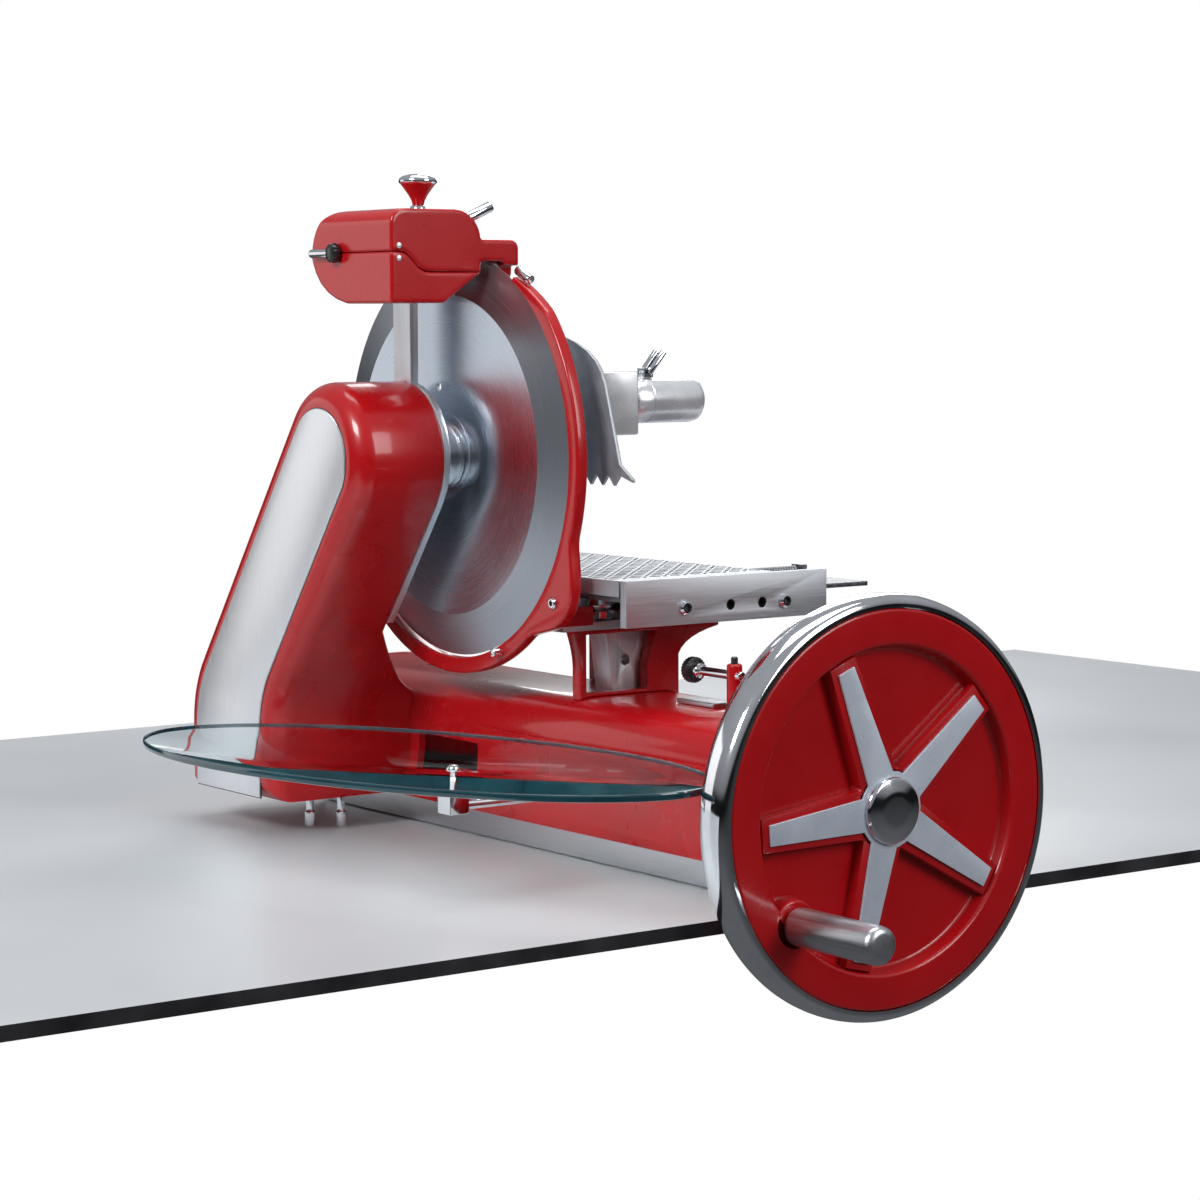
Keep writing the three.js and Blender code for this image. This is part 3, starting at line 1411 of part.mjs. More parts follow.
// Meat press: a post on the table, a sliding arm, the toothed plate, the grip and the lock lever
const postFootRadius = pressPostRadius * 2;
const pressPostTop = tableTop + pressPostHeight;
add('press_post', spun('z', [
  [0, tableTop + fitGap], [postFootRadius, tableTop + fitGap], [
    postFootRadius, tableTop + castWall * 0.7,
  ], [pressPostRadius, tableTop + castWall],
  [
    pressPostRadius, pressPostTop - pressPostChamfer,
  ], [pressPostRadius - pressPostChamfer, pressPostTop], [0, pressPostTop],
], pressPostX, pressPostY, roundFacets), chrome);
const sleeveRadius = pressPostRadius + castWall;
const pressBoxBottom = tableTop + pressBoxRise;
const pressBoxTop = pressBoxBottom + pressBoxHeight;
const pressMid = (pressBoxTop + pressBoxBottom) / 2;
const sleeve = bar(
  'z', sleeveRadius, pressBoxBottom, pressBoxTop + castWall * 2, pressPostX, pressPostY, roundFacets,
);
const armY0 = pressPlateY + pressPlateThickness + fitGap;
const armBody = block(
  pressPostX, pressBoxLeftX + castWall, pressPostY - castWall, pressPostY + castWall,
  pressMid - pressArmHeight / 2, pressMid + pressArmHeight / 2,
);
const boxOutline = [
  [armY0, pressBoxTop], [
    armY0 + castWall, pressBoxBottom,
  ], [pressBoxBackY, pressBoxBottom], [pressBoxBackY, pressBoxTop],
];
const pressBox = prism(boxOutline.slice().reverse(), 'x', pressBoxLeftX, pressBoxRightX);
const armBore = bar(
  'z', pressPostRadius + fitGap, pressBoxBottom - cutOverrun, pressBoxTop + castWall * 3, pressPostX,
  pressPostY, roundFacets,
);
const gripX = pressBoxRightX - pressGripRadius;
const gripZ = pressBoxTop - pressGripRadius - castWall;
add('press_arm', cut(joined(sleeve, armBody, pressBox), armBore), chrome);

const pressPlateBottom = tableTop + pressPlateRise;
const pressPlateTop = pressPlateBottom + pressPlateHeight;

function pressOutline() {
  const points = [[pressPlateLeftX, pressPlateBottom]];
  const pitch = (pressPlateRightX - pressPlateLeftX) / pressToothCount;
  for (let i = 0; i < pressToothCount; i += 1) {
    points.push(
      [pressPlateLeftX + pitch * (i + 0.5), pressPlateBottom - pressToothDepth],
      [pressPlateLeftX + pitch * (i + 1), pressPlateBottom],
    );
  }
  const shoulder = (pressPlateTop - pressPlateBottom) * 0.35;
  const crown = new THREE.QuadraticBezierCurve(
    new THREE.Vector2(pressPlateRightX - shoulder * 0.5, pressPlateTop - shoulder),
    new THREE.Vector2(pressPlateRightX - shoulder * 0.7, pressPlateTop - shoulder * 0.3),
    new THREE.Vector2(pressPlateRightX - shoulder * 2, pressPlateTop),
  ).getPoints(5).map((p) => [p.x, p.y]);
  const spur = [
    [pressPlateRightX + pressSpurReach, pressPlateBottom - pressToothDepth * 0.6],
    [pressPlateRightX + pressSpurReach, pressPlateBottom - pressToothDepth * 0.3],
    [pressPlateRightX, pressPlateBottom + pressToothDepth],
  ];
  return [...points, ...spur, ...crown, [pressPlateLeftX, pressPlateTop]];
}
add('press_plate', prism(pressOutline(), 'y', pressPlateY, pressPlateY + pressPlateThickness), darkSteel);
const gripCap = pressGripRadius * 0.3;
add('press_grip', spun('y', [
  [0, pressBoxBackY + fitGap], [
    pressGripRadius - gripCap, pressBoxBackY + fitGap,
  ], [pressGripRadius, pressBoxBackY + gripCap],
  [
    pressGripRadius, pressBoxBackY + pressGripLength - gripCap,
  ], [pressGripRadius - gripCap, pressBoxBackY + pressGripLength], [0, pressBoxBackY + pressGripLength],
], gripX, gripZ, roundFacets), chrome);

// Lock lever: a forked tab on a black washer, on top of the grip
const lockY = pressBoxBackY + pressGripRadius * 1.1;
const lockRadius = pressGripRadius * 0.35;
const lockFlat = gripZ + pressGripRadius + fitGap;
const prongRadius = castWall * 0.4;
function prong(shift) {
  const geometry = new THREE.CylinderGeometry(prongRadius, prongRadius, lockLeverLength, smallFacets - 4);
  geometry.rotateX(Math.PI / 2);
  geometry.translate(shift, 0, lockLeverLength / 2);
  geometry.rotateX(-lockLeverAngle * deg);
  geometry.translate(gripX, lockY, lockFlat + castWall / 2);
  return toSolid(geometry);
}
const leverFoot = bar('z', lockRadius, lockFlat, lockFlat + castWall * 1.2, gripX, lockY, smallFacets);
add('lock_lever', joined(leverFoot, prong(-lockRadius * 0.8), prong(lockRadius * 0.8)), chrome);

// Receiving tray: an oval glass plate on two arms from the base
const trayBottom = trayTop - trayThickness;
const traySteps = 48;
const trayOutline = Array.from({ length: traySteps }, (_, i) => {
  const angle = (i / traySteps) * 2 * Math.PI;
  const u = trayHalfLength * Math.cos(angle);
  const v = trayHalfWidth * Math.sin(angle);
  const yaw = trayYaw * deg;
  return [
    trayCentreX + u * Math.cos(yaw) - v * Math.sin(yaw),
    trayCentreY + u * Math.sin(yaw) + v * Math.cos(yaw),
  ];
});
const trayArmEndY = -baseHalfWidth - trayArmReach;
const trayPegRadius = trayArmRadius * 0.7;
const trayPegY = trayArmEndY + trayBlockWidth / 2;
const trayPegBore = bar(
  'z', trayPegRadius + fitGap, trayBottom - cutOverrun, trayTop + cutOverrun, trayArmX, trayPegY,
);
add('glass_tray', cut(prism(trayOutline, 'z', trayBottom, trayTop), trayPegBore), glassClear);
const trayArmEnds = [trayArmEndY, trayArmEndY + trayArmStagger];
trayArmEnds.forEach((endY, i) => {
  const x = trayArmX - trayArmSpacing * i;
  const rod = joined(
    bar('y', trayArmRadius, endY + trayBlockWidth / 2, -baseHalfWidth - fitGap, x, trayArmHeight),
    block(
      x - trayBlockWidth / 2, x + trayBlockWidth / 2, endY, endY + trayBlockWidth,
      trayArmHeight - trayArmRadius * 1.5, trayBottom - fitGap,
    ),
  );
  const peg = joined(
    bar('z', trayPegRadius, trayBottom - trayArmRadius, trayTop + trayArmRadius, trayArmX, trayPegY),
    spun('z', [
      [0, trayTop + fitGap], [trayButtonRadius, trayTop + fitGap], [
        trayButtonRadius, trayTop + trayButtonRadius * 0.5,
      ],
      [trayButtonRadius * 0.6, trayTop + trayButtonRadius], [0, trayTop + trayButtonRadius],
    ], trayArmX, trayPegY, smallFacets),
  );
  add(`tray_arm_${i + 1}`, i === 0 ? rod.add(peg) : rod, chrome);
});

// Slice adjustment: strip on the crest, post, spindle and knob
const stripBottom = baseTopHeight + fitGap;
const adjusterAxisHeight = baseTopHeight + adjusterRise;
const adjusterEndX = adjusterPostX - adjusterLength;
add(
  'adjuster_strip',
  block(
    adjusterEndX - stripLength / 4, adjusterEndX + stripLength, adjusterPostY - stripWidth / 2,
    adjusterPostY + stripWidth / 2, stripBottom, stripBottom + stripThickness,
  ),
  brushedSteel,
);
const adjusterSpindleRadius = adjusterPostRadius * 0.6;
add('adjuster_post', cut(
  joined(
    bar(
      'z', adjusterPostRadius, baseTopHeight + fitGap, adjusterAxisHeight + adjusterPostRadius * 1.5,
      adjusterPostX, adjusterPostY, smallFacets,
    ),
    bar(
      'z', adjusterPostRadius * 0.45, adjusterAxisHeight, adjusterAxisHeight + adjusterPostRadius * 2.4,
      adjusterPostX, adjusterPostY, smallFacets,
    ),
  ),
  bar(
    'x', adjusterSpindleRadius + fitGap, adjusterPostX - adjusterPostRadius * 2,
    adjusterPostX + adjusterPostRadius * 2, adjusterPostY, adjusterAxisHeight,
  ),
), redPaint);
add('adjuster_spindle', joined(
  bar(
    'x', adjusterSpindleRadius, adjusterEndX - castWall / 2, adjusterPostX + adjusterPostRadius * 1.6,
    adjusterPostY, adjusterAxisHeight,
  ),
  bar(
    'x', adjusterKnobRadius, adjusterEndX - castWall, adjusterEndX, adjusterPostY, adjusterAxisHeight,
    roundFacets,
  ),
), chrome);

export default model;
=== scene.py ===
import bmesh
import bpy
import json
import math
from mathutils import Matrix, Vector

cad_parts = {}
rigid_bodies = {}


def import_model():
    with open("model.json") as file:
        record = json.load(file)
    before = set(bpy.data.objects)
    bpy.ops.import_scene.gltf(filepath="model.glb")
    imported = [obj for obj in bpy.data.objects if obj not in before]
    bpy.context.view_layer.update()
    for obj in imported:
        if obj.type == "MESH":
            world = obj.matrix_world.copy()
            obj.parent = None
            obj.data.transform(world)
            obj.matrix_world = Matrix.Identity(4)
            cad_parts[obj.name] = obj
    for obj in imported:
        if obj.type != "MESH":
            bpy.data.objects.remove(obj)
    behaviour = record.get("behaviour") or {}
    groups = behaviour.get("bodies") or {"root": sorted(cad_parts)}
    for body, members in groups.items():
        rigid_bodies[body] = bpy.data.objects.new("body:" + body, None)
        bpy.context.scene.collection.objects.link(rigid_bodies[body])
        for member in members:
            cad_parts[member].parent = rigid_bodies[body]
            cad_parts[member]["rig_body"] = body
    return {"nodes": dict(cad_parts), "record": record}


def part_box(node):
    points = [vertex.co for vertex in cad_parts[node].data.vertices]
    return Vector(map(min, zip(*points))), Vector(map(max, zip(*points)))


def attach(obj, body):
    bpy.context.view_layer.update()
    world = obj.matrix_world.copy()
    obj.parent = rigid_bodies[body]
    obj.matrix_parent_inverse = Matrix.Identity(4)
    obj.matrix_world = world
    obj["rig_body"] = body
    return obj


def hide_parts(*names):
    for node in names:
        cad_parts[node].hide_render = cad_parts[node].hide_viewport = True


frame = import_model()
nodes = frame["nodes"]
slot_of = {s["node"]: s["material_slot"] for s in frame["record"]["subparts"]}
body_of = {n: o["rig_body"] for n, o in nodes.items()}
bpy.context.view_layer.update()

# Lengths are in millimetres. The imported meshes, the stage, the lamps and the camera stand in metres
MM = 0.001
BLADE_X, BLADE_Z = -65.0, 340.0


# Materials
NOISE_LOW, NOISE_HIGH = 0.3, 0.7
COAT_ROUGHNESS = 0.06
RELIEF_DISTANCE = 0.4 * MM


def tree_of(name):
    """A new material with its node tree and its shader."""
    material = bpy.data.materials.new(name)
    material.use_nodes = True
    return material, material.node_tree, material.node_tree.nodes["Principled BSDF"]


def put(tree, kind, **values):
    """A new node, with its properties and input values set by name."""
    node = tree.nodes.new(kind)
    for key, value in values.items():
        if hasattr(node, key):
            setattr(node, key, value)
        else:
            node.inputs[key.replace("_", " ").title()].default_value = value
    return node


def swing(tree, source, low, high):
    """The middle range of a noise, stretched to run from low to high."""
    node = tree.nodes.new("ShaderNodeMapRange")
    node.inputs["From Min"].default_value = NOISE_LOW
    node.inputs["From Max"].default_value = NOISE_HIGH
    node.inputs["To Min"].default_value = low
    node.inputs["To Max"].default_value = high
    tree.links.new(source, node.inputs["Value"])
    return node.outputs["Result"]


def tint(tree, shader, noise, dark, light, rough):
    """Noise moves the colour from dark to light and the roughness over its range."""
    mix = tree.nodes.new("ShaderNodeMix")
    mix.data_type = "RGBA"
    mix.inputs["A"].default_value = (*dark, 1)
    mix.inputs["B"].default_value = (*light, 1)
    tree.links.new(swing(tree, noise.outputs["Fac"], 0, 1), mix.inputs["Factor"])
    tree.links.new(mix.outputs["Result"], shader.inputs["Base Color"])
    tree.links.new(swing(tree, noise.outputs["Fac"], *rough), shader.inputs["Roughness"])


def shade(name, dark, light, metal, rough, scale, stretch=(1, 1, 1), bump=0.0, coat=0.0, grain=0, **more):
    """A procedural finish: noise moves colour and roughness, and the same or a finer one gives relief."""
    material, tree, shader = tree_of(name)
    coord = tree.nodes.new("ShaderNodeTexCoord")
    place = tree.nodes.new("ShaderNodeMapping")
    place.inputs["Scale"].default_value = stretch
    tree.links.new(coord.outputs["Object"], place.inputs["Vector"])
    noise = put(tree, "ShaderNodeTexNoise", scale=scale, detail=4)
    tree.links.new(place.outputs["Vector"], noise.inputs["Vector"])
    tint(tree, shader, noise, dark, light, rough)
    shader.inputs["Metallic"].default_value = metal
    shader.inputs["Coat Weight"].default_value = coat
    shader.inputs["Coat Roughness"].default_value = COAT_ROUGHNESS
    for key, value in more.items():
        shader.inputs[key.replace("_", " ")].default_value = value
    if bump:
        relief = noise
        if grain:
            relief = put(tree, "ShaderNodeTexNoise", scale=grain, detail=2)
            tree.links.new(place.outputs["Vector"], relief.inputs["Vector"])
        lift = tree.nodes.new("ShaderNodeBump")
        lift.inputs["Strength"].default_value = bump
        lift.inputs["Distance"].default_value = RELIEF_DISTANCE
        tree.links.new(relief.outputs["Fac"], lift.inputs["Height"])
        tree.links.new(lift.outputs["Normal"], shader.inputs["Normal"])
    return material


def ringed(name, dark, light, rough, lines, spread):
    """Steel turned on a lathe: fine rings about the blade's axis and a highlight that fans out from it."""
    material, tree, shader = tree_of(name)
    coord = tree.nodes.new("ShaderNodeTexCoord")
    shift = put(tree, "ShaderNodeVectorMath", operation="SUBTRACT")
    shift.inputs[1].default_value = (BLADE_X * MM, 0, BLADE_Z * MM)
    tree.links.new(coord.outputs["Object"], shift.inputs[0])
    flat = put(tree, "ShaderNodeVectorMath", operation="MULTIPLY")
    flat.inputs[1].default_value = (1, 0, 1)
    tree.links.new(shift.outputs["Vector"], flat.inputs[0])
    radius = put(tree, "ShaderNodeVectorMath", operation="LENGTH")
    tree.links.new(flat.outputs["Vector"], radius.inputs[0])
    line = tree.nodes.new("ShaderNodeCombineXYZ")
    tree.links.new(radius.outputs["Value"], line.inputs["X"])
    noise = put(tree, "ShaderNodeTexNoise", scale=lines, detail=3)
    tree.links.new(line.outputs["Vector"], noise.inputs["Vector"])
    tint(tree, shader, noise, dark, light, rough)
    shader.inputs["Metallic"].default_value = 1.0
    shader.inputs["Anisotropic"].default_value = spread
    tangent = put(tree, "ShaderNodeTangent", direction_type="RADIAL", axis="Y")
    tree.links.new(tangent.outputs["Tangent"], shader.inputs["Tangent"])
    return material


red = shade("red_paint", (0.44, 0.004, 0.007), (0.47, 0.005, 0.008), metal=0.0, rough=(0.26, 0.31),
            scale=26, bump=0.03, coat=0.5, grain=420, Specular_IOR_Level=0.35)
steel = shade("bare_steel", (0.54, 0.56, 0.59), (0.62, 0.64, 0.67), metal=1.0, rough=(0.28, 0.38),
              scale=30, stretch=(1, 25, 25), bump=0.03)
steel_y = shade("bare_steel_y", (0.44, 0.46, 0.49), (0.54, 0.56, 0.59), metal=0.9, rough=(0.48, 0.58),
                scale=30, stretch=(25, 1, 25), bump=0.03)
press_steel = shade("press_steel", (0.38, 0.41, 0.44), (0.50, 0.53, 0.56), metal=0.8, rough=(0.40, 0.54),
                    scale=60, bump=0.08, grain=300)
plate = shade("face_plate", (0.80, 0.81, 0.84), (0.88, 0.89, 0.92), metal=0.85, rough=(0.30, 0.40),
              scale=30, stretch=(25, 25, 1), bump=0.03)
chrome = shade("bright_chrome", (0.74, 0.76, 0.80), (0.84, 0.86, 0.89), metal=1.0, rough=(0.05, 0.13),
               scale=30)
satin = shade("satin_chrome", (0.80, 0.82, 0.86), (0.88, 0.90, 0.93), metal=0.6, rough=(0.22, 0.30),
              scale=40, bump=0.03, grain=300)
aluminium = shade("pale_aluminium", (0.66, 0.68, 0.71), (0.80, 0.82, 0.85), metal=0.9, rough=(0.32, 0.46),
                  scale=12, stretch=(30, 30, 1), bump=0.15)
tread = shade("tread_aluminium", (0.40, 0.42, 0.45), (0.50, 0.52, 0.55), metal=0.8, rough=(0.46, 0.58),
              scale=70, bump=0.1, grain=300)
# The lozenges: the tread's own aluminium, coloured darker as painted shade on them
tread_shade_mark = shade("tread_lozenge_shade", (0.16, 0.17, 0.18), (0.26, 0.27, 0.29), metal=0.8, rough=(0.34, 0.46),
                   scale=70, bump=0.1, grain=300)
dark = shade("dark_plate", (0.10, 0.11, 0.12), (0.20, 0.21, 0.23), metal=0.85, rough=(0.30, 0.44),
             scale=10, stretch=(1, 30, 30), bump=0.1)
drive = shade("drive_steel", (0.20, 0.21, 0.22), (0.34, 0.35, 0.37), metal=0.95, rough=(0.32, 0.5),
              scale=40, bump=0.15, grain=260)
iron = shade("iron", (0.06, 0.06, 0.065), (0.12, 0.12, 0.13), metal=0.8, rough=(0.5, 0.7),
             scale=90, bump=0.4, grain=240)
enamel = shade("inlay_enamel", (0.56, 0.62, 0.72), (0.66, 0.71, 0.80), metal=0.2, rough=(0.22, 0.34),
               scale=35, bump=0.04, coat=0.4, grain=400)
grit = shade("stone", (0.34, 0.33, 0.31), (0.55, 0.54, 0.51), metal=0.0, rough=(0.8, 0.95),
             scale=380, bump=0.8, grain=900)
black = shade("black_knob", (0.008, 0.009, 0.010), (0.022, 0.023, 0.025), metal=0.0, rough=(0.24, 0.38),
              scale=80, bump=0.06, coat=0.3, grain=500)
blade_steel = ringed("polished_blade", (0.50, 0.56, 0.65), (0.62, 0.68, 0.76), rough=(0.20, 0.30),
                     lines=900, spread=0.75)
bevel_steel = ringed("blade_bevel", (0.42, 0.45, 0.50), (0.56, 0.59, 0.64), rough=(0.26, 0.36),
                     lines=1400, spread=0.6)
hub_steel = ringed("hub_steel", (0.66, 0.67, 0.70), (0.82, 0.83, 0.86), rough=(0.12, 0.24),
                   lines=1200, spread=0.5)
glass = shade("tray_glass", (0.86, 0.94, 0.95), (0.91, 0.97, 0.97), metal=0.0, rough=(0.01, 0.03),
              scale=8, Transmission_Weight=1.0, IOR=1.012)
glass_edge = shade("tray_glass_edge", (0.004, 0.03, 0.045), (0.012, 0.07, 0.09), metal=0.0,
                   rough=(0.05, 0.12), scale=14, coat=0.8, Transmission_Weight=0.1, IOR=1.5)
by_slot = {
    "red_paint": red,
    "bare_steel": steel,
    "polished_blade": blade_steel,
    "bright_chrome": chrome,
    "pale_aluminium": aluminium,
    "tread_aluminium": tread,
    "dark_plate": dark,
    "drive_steel": drive,
    "iron": iron,
    "inlay_enamel": enamel,
    "stone": grit,
    "black_knob": black,
    "tray_glass": glass,
}
for name, node in nodes.items():
    node.data.materials.clear()
    node.data.materials.append(by_slot[slot_of[name]])


# Mesh helpers, with angles in degrees
TINY = 1e-6
STRAIGHT = 0.995
SHARP = 34
RIM_SHARE, CORNER_SHARE = 0.3, 0.45
BEVEL_STEPS, FLAT_ANGLE = 3, 1.0
CAST_VOXEL, CAST_ROUNDS = 1.3, 5


def bezier(a, b, c, u):
    """The point at share u of a curve from a to c that leans towards b."""
    return a * (1 - u) ** 2 + b * 2 * u * (1 - u) + c * u * u


def on_circle(a, b, r, angle):
    """The point at an angle on a circle about a, b."""
    return a + r * math.cos(angle), b + r * math.sin(angle)


def turned(x, y, z, angle, points):
    """Flat points (u, v) turned by an angle and set down at x, y, z."""
    c, s = math.cos(angle), math.sin(angle)
    return [(x + c * u - s * v, y + s * u + c * v, z) for u, v in points]


def ridged(a, b, r, steps, period, wide, valley_share):
    """A round outline with ridges for the fingers: wide of every period points stand at the full radius."""
    out = []
    for k in range(steps):
        share = 1 if k % period < wide else valley_share
        out.append(on_circle(a, b, r * share, 2 * math.pi * k / steps))
    return out


def soften(points, radius, steps=4, closed=False):
    """The same line of points with its corners rounded."""
    out = []
    count = len(points)
    for i, p in enumerate(points):
        if not closed and i in (0, count - 1):
            out.append(tuple(p))
            continue
        p, before, after = Vector(p), Vector(points[i - 1]), Vector(points[(i + 1) % count])
        back, ahead = before - p, after - p
        short = back.length < TINY or ahead.length < TINY
        if short or abs(back.normalized().dot(ahead.normalized())) > STRAIGHT:
            out.append(tuple(p))
            continue
        r = min(radius, back.length * CORNER_SHARE, ahead.length * CORNER_SHARE)
        start, end = p + back / back.length * r, p + ahead / ahead.length * r
        out += [tuple(bezier(start, p, end, k / steps)) for k in range(steps + 1)]
    return out


def spot(axis, u, v, t):
    """The point at u, v across an axis and t along it."""
    return {"x": (t, u, v), "y": (u, t, v), "z": (u, v, t)}[axis]


class Shape:
    """Points and faces gathered from several simple bodies, made into one object at the end."""

    def __init__(self):
        self.points, self.faces, self.marks = [], [], []

    def add(self, points, faces, mark=0):
        """More faces. Mark is their material's number, one for all or a list."""
        base = len(self.points)
        self.points += [tuple(p) for p in points]
        self.faces += [[base + i for i in f] for f in faces]
        self.marks += mark if isinstance(mark, list) else [mark] * len(faces)
        return self

    def loft(self, rings, mark=0):
        """A skin over rings with equal numbers of points, closed at both ends."""
        n = len(rings[0])
        points = [p for r in rings for p in r]
        faces = []
        for k in range(len(rings) - 1):
            a, b = k * n, (k + 1) * n
            faces += [[a + i, a + (i + 1) % n, b + (i + 1) % n, b + i] for i in range(n)]
        faces += [list(range(n))[::-1], [(len(rings) - 1) * n + i for i in range(n)]]
        return self.add(points, faces, mark)

    def lathe(self, axis, a, b, profile, seg=64, mark=0, marks=None):
        """A profile of (radius, coordinate) turned about an axis through a, b. Zero radii become poles."""
        points, rows, faces, out = [], [], [], []
        for r, t in profile:
            rows.append(len(points))
            if r < TINY:
                points.append(spot(axis, a, b, t))
            else:
                points += [spot(axis, *on_circle(a, b, r, 2 * math.pi * i / seg), t) for i in range(seg)]
        for k in range(len(profile) - 1):
            p, q = rows[k], rows[k + 1]
            pole_p, pole_q = profile[k][0] < TINY, profile[k + 1][0] < TINY
            if pole_p and pole_q:
                continue
            for i in range(seg):
                j = (i + 1) % seg
                if pole_p:
                    faces.append([p, q + i, q + j])
                elif pole_q:
                    faces.append([p + i, p + j, q])
                else:
                    faces.append([p + i, p + j, q + j, q + i])
                out.append(marks[k] if marks else mark)
        return self.add(points, faces, out)

    def prism(self, outline, axis, t0, t1, rim, mark=0):
        """An outline carried along an axis, with its two rims eased by a chamfer in two steps."""
        n = len(outline)
        area = 0
        for (ax, ay), (bx, by) in zip(outline, outline[1:] + outline[:1]):
            area += ax * by - bx * ay
        turn = 1 if area > 0 else -1

        def inset(d):
            """The outline moved inwards by d."""
            out = []
            for i in range(n):
                a, p, b = Vector(outline[i - 1]), Vector(outline[i]), Vector(outline[(i + 1) % n])
                along_a, along_b = (p - a).normalized(), (b - p).normalized()
                normal_a = Vector((-along_a.y, along_a.x)) * turn
                normal_b = Vector((-along_b.y, along_b.x)) * turn
                m = normal_a + normal_b
                m = m / max(0.5, m.dot(normal_a)) if m.length > TINY else normal_a
                out.append(p + m * d)
            return out

        soft = rim * RIM_SHARE
        levels = [(t0, rim), (t0 + soft, soft), (t0 + rim, 0), (t1 - rim, 0), (t1 - soft, soft), (t1, rim)]
        rings = []
        for t, d in levels:
            rings.append([spot(axis, p[0], p[1], t) for p in (inset(d) if d else outline)])
        return self.loft(rings, mark)

    def make(self, name, mats, body, slot, replaces=(), sharp=SHARP):
        """The shape as a piece, with its normals turned outwards."""
        mesh = bpy.data.meshes.new(name)
        mesh.from_pydata([Vector(p) * MM for p in self.points], [], self.faces)
        for m in mats if isinstance(mats, list) else [mats]:
            mesh.materials.append(m)
        mesh.polygons.foreach_set("material_index", self.marks)
        bm = bmesh.new()
        bm.from_mesh(mesh)
        bmesh.ops.recalc_face_normals(bm, faces=bm.faces)
        bm.to_mesh(mesh)
        bm.free()
        return settle(name, mesh, body, replaces, sharp)


def settle(name, mesh, body, replaces=(), sharp=SHARP, bevel=0.0):
    """The mesh as a piece that rides on its body, with its sharp edges kept or bevelled."""
    mesh.polygons.foreach_set("use_smooth", [True] * len(mesh.polygons))
    ob = bpy.data.objects.new(name, mesh)
    bpy.context.scene.collection.objects.link(ob)
    if bevel:
        mod = ob.modifiers.new("edges", "BEVEL")
        mod.width = bevel * MM
        mod.segments = BEVEL_STEPS
        mod.limit_method = "ANGLE"
        mod.angle_limit = math.radians(sharp)
        mod.harden_normals = True
    else:
        mesh.set_sharp_from_angle(angle=math.radians(sharp))
    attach(ob, body)
    if replaces:
        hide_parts(*replaces)
    return ob


def eased(node, mat, bevel=0.8, sharp=SHARP):
    """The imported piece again, with clean faces and eased edges."""
    mesh = nodes[node].data.copy()
    bm = bmesh.new()
    bm.from_mesh(mesh)
    bmesh.ops.remove_doubles(bm, verts=bm.verts, dist=TINY)
    bmesh.ops.dissolve_limit(bm, angle_limit=math.radians(FLAT_ANGLE), verts=bm.verts, edges=bm.edges)
    bm.to_mesh(mesh)
    bm.free()
    mesh.materials.clear()
    mesh.materials.append(mat)
    return settle(node + "_fine", mesh, body_of[node], [node], sharp, bevel)


def cast(node):
    """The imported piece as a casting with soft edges: remeshed finely, then relaxed."""
    mesh = nodes[node].data.copy()
    ob = settle(node + "_cast", mesh, body_of[node], [node], sharp=180)
    mod = ob.modifiers.new("fine", "REMESH")
    mod.mode = "VOXEL"
    mod.voxel_size = CAST_VOXEL * MM
    mod.use_smooth_shade = True
    relax = ob.modifiers.new("relax", "SMOOTH")
    relax.factor = 0.5
    relax.iterations = CAST_ROUNDS
    return ob


def span(node):
    """The two corners of a node's box."""
    lo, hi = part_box(node)
    return [v / MM for v in lo], [v / MM for v in hi]


def round_of(node, axis):
    """Centre, radius and ends of a round node about an axis."""
    lo, hi = span(node)
    i = "xyz".index(axis)
    u, v = [k for k in range(3) if k != i]
    return (lo[u] + hi[u]) / 2, (lo[v] + hi[v]) / 2, (hi[u] - lo[u]) / 2, lo[i], hi[i]


def socket_screw(shape, axis, a, b, t, out, radius, head):
    """A domed screw head standing out from t towards out (+1 or -1), with its hexagon socket in a dark
    material: painted shade in the recess.
    """
    top, mouth = t + out * head, radius * 0.5
    dome = [(radius, t), (radius, t + out * head * 0.55), (radius * 0.72, top), (mouth, top)]
    shape.lathe(axis, a, b, dome, seg=32, mark=0)
    socket = [(mouth, top), (mouth, t + out * head * 0.4), (0, t + out * head * 0.35)]
    # The socket takes the second, dark material: painted shade in the recess
    shape.lathe(axis, a, b, socket, seg=6, mark=1)


# The column's outline
HEAD_X, HEAD_Z, HEAD_RADIUS = -92.0, 338.0, 66.0
FOOT_LEFT, FOOT_RIGHT, FOOT_Z = -336.5, -178.5, 29.0
BEND_SHARE = 0.305
HEAD_STEPS, BEND_STEPS = 36, 12
bend_z = FOOT_Z + (HEAD_Z - FOOT_Z) * BEND_SHARE
reach = Vector((HEAD_X - FOOT_LEFT, HEAD_Z - bend_z))
lean = math.atan2(reach.x, reach.y) - math.asin(HEAD_RADIUS / reach.length)
sin_lean, cos_lean = math.sin(lean), math.cos(lean)


def column_line(inset, rise):
    """The column's outline as (x, z), moved inwards by an inset, with its lower end raised."""
    r = HEAD_RADIUS - inset
    left, right = FOOT_LEFT + inset, FOOT_RIGHT - inset
    soft = HEAD_RADIUS / 2

    def bend(x, tangent_x, tangent_z):
        """The curve from an upright side at x to the side that leans to a point on the head."""
        z = tangent_z - (tangent_x - x) * cos_lean / sin_lean
        below, corner = Vector((x, z - soft)), Vector((x, z))
        above = Vector((x + soft * sin_lean, z + soft * cos_lean))
        return [tuple(bezier(below, corner, above, k / BEND_STEPS)) for k in range(BEND_STEPS + 1)]

    head = []
    for k in range(HEAD_STEPS + 1):
        head.append(on_circle(HEAD_X, HEAD_Z, r, math.pi - lean - math.pi * k / HEAD_STEPS))
    left_bend = bend(left, HEAD_X - r * cos_lean, HEAD_Z + r * sin_lean)
    right_bend = bend(right, HEAD_X + r * cos_lean, HEAD_Z - r * sin_lean)
    low = FOOT_Z + rise
    return [(left, low), *left_bend, *head, *right_bend[::-1], (right, low)]


def at_y(line, y):
    """A line of (x, z) set at one depth."""
    return [(x, y, z) for x, z in line]


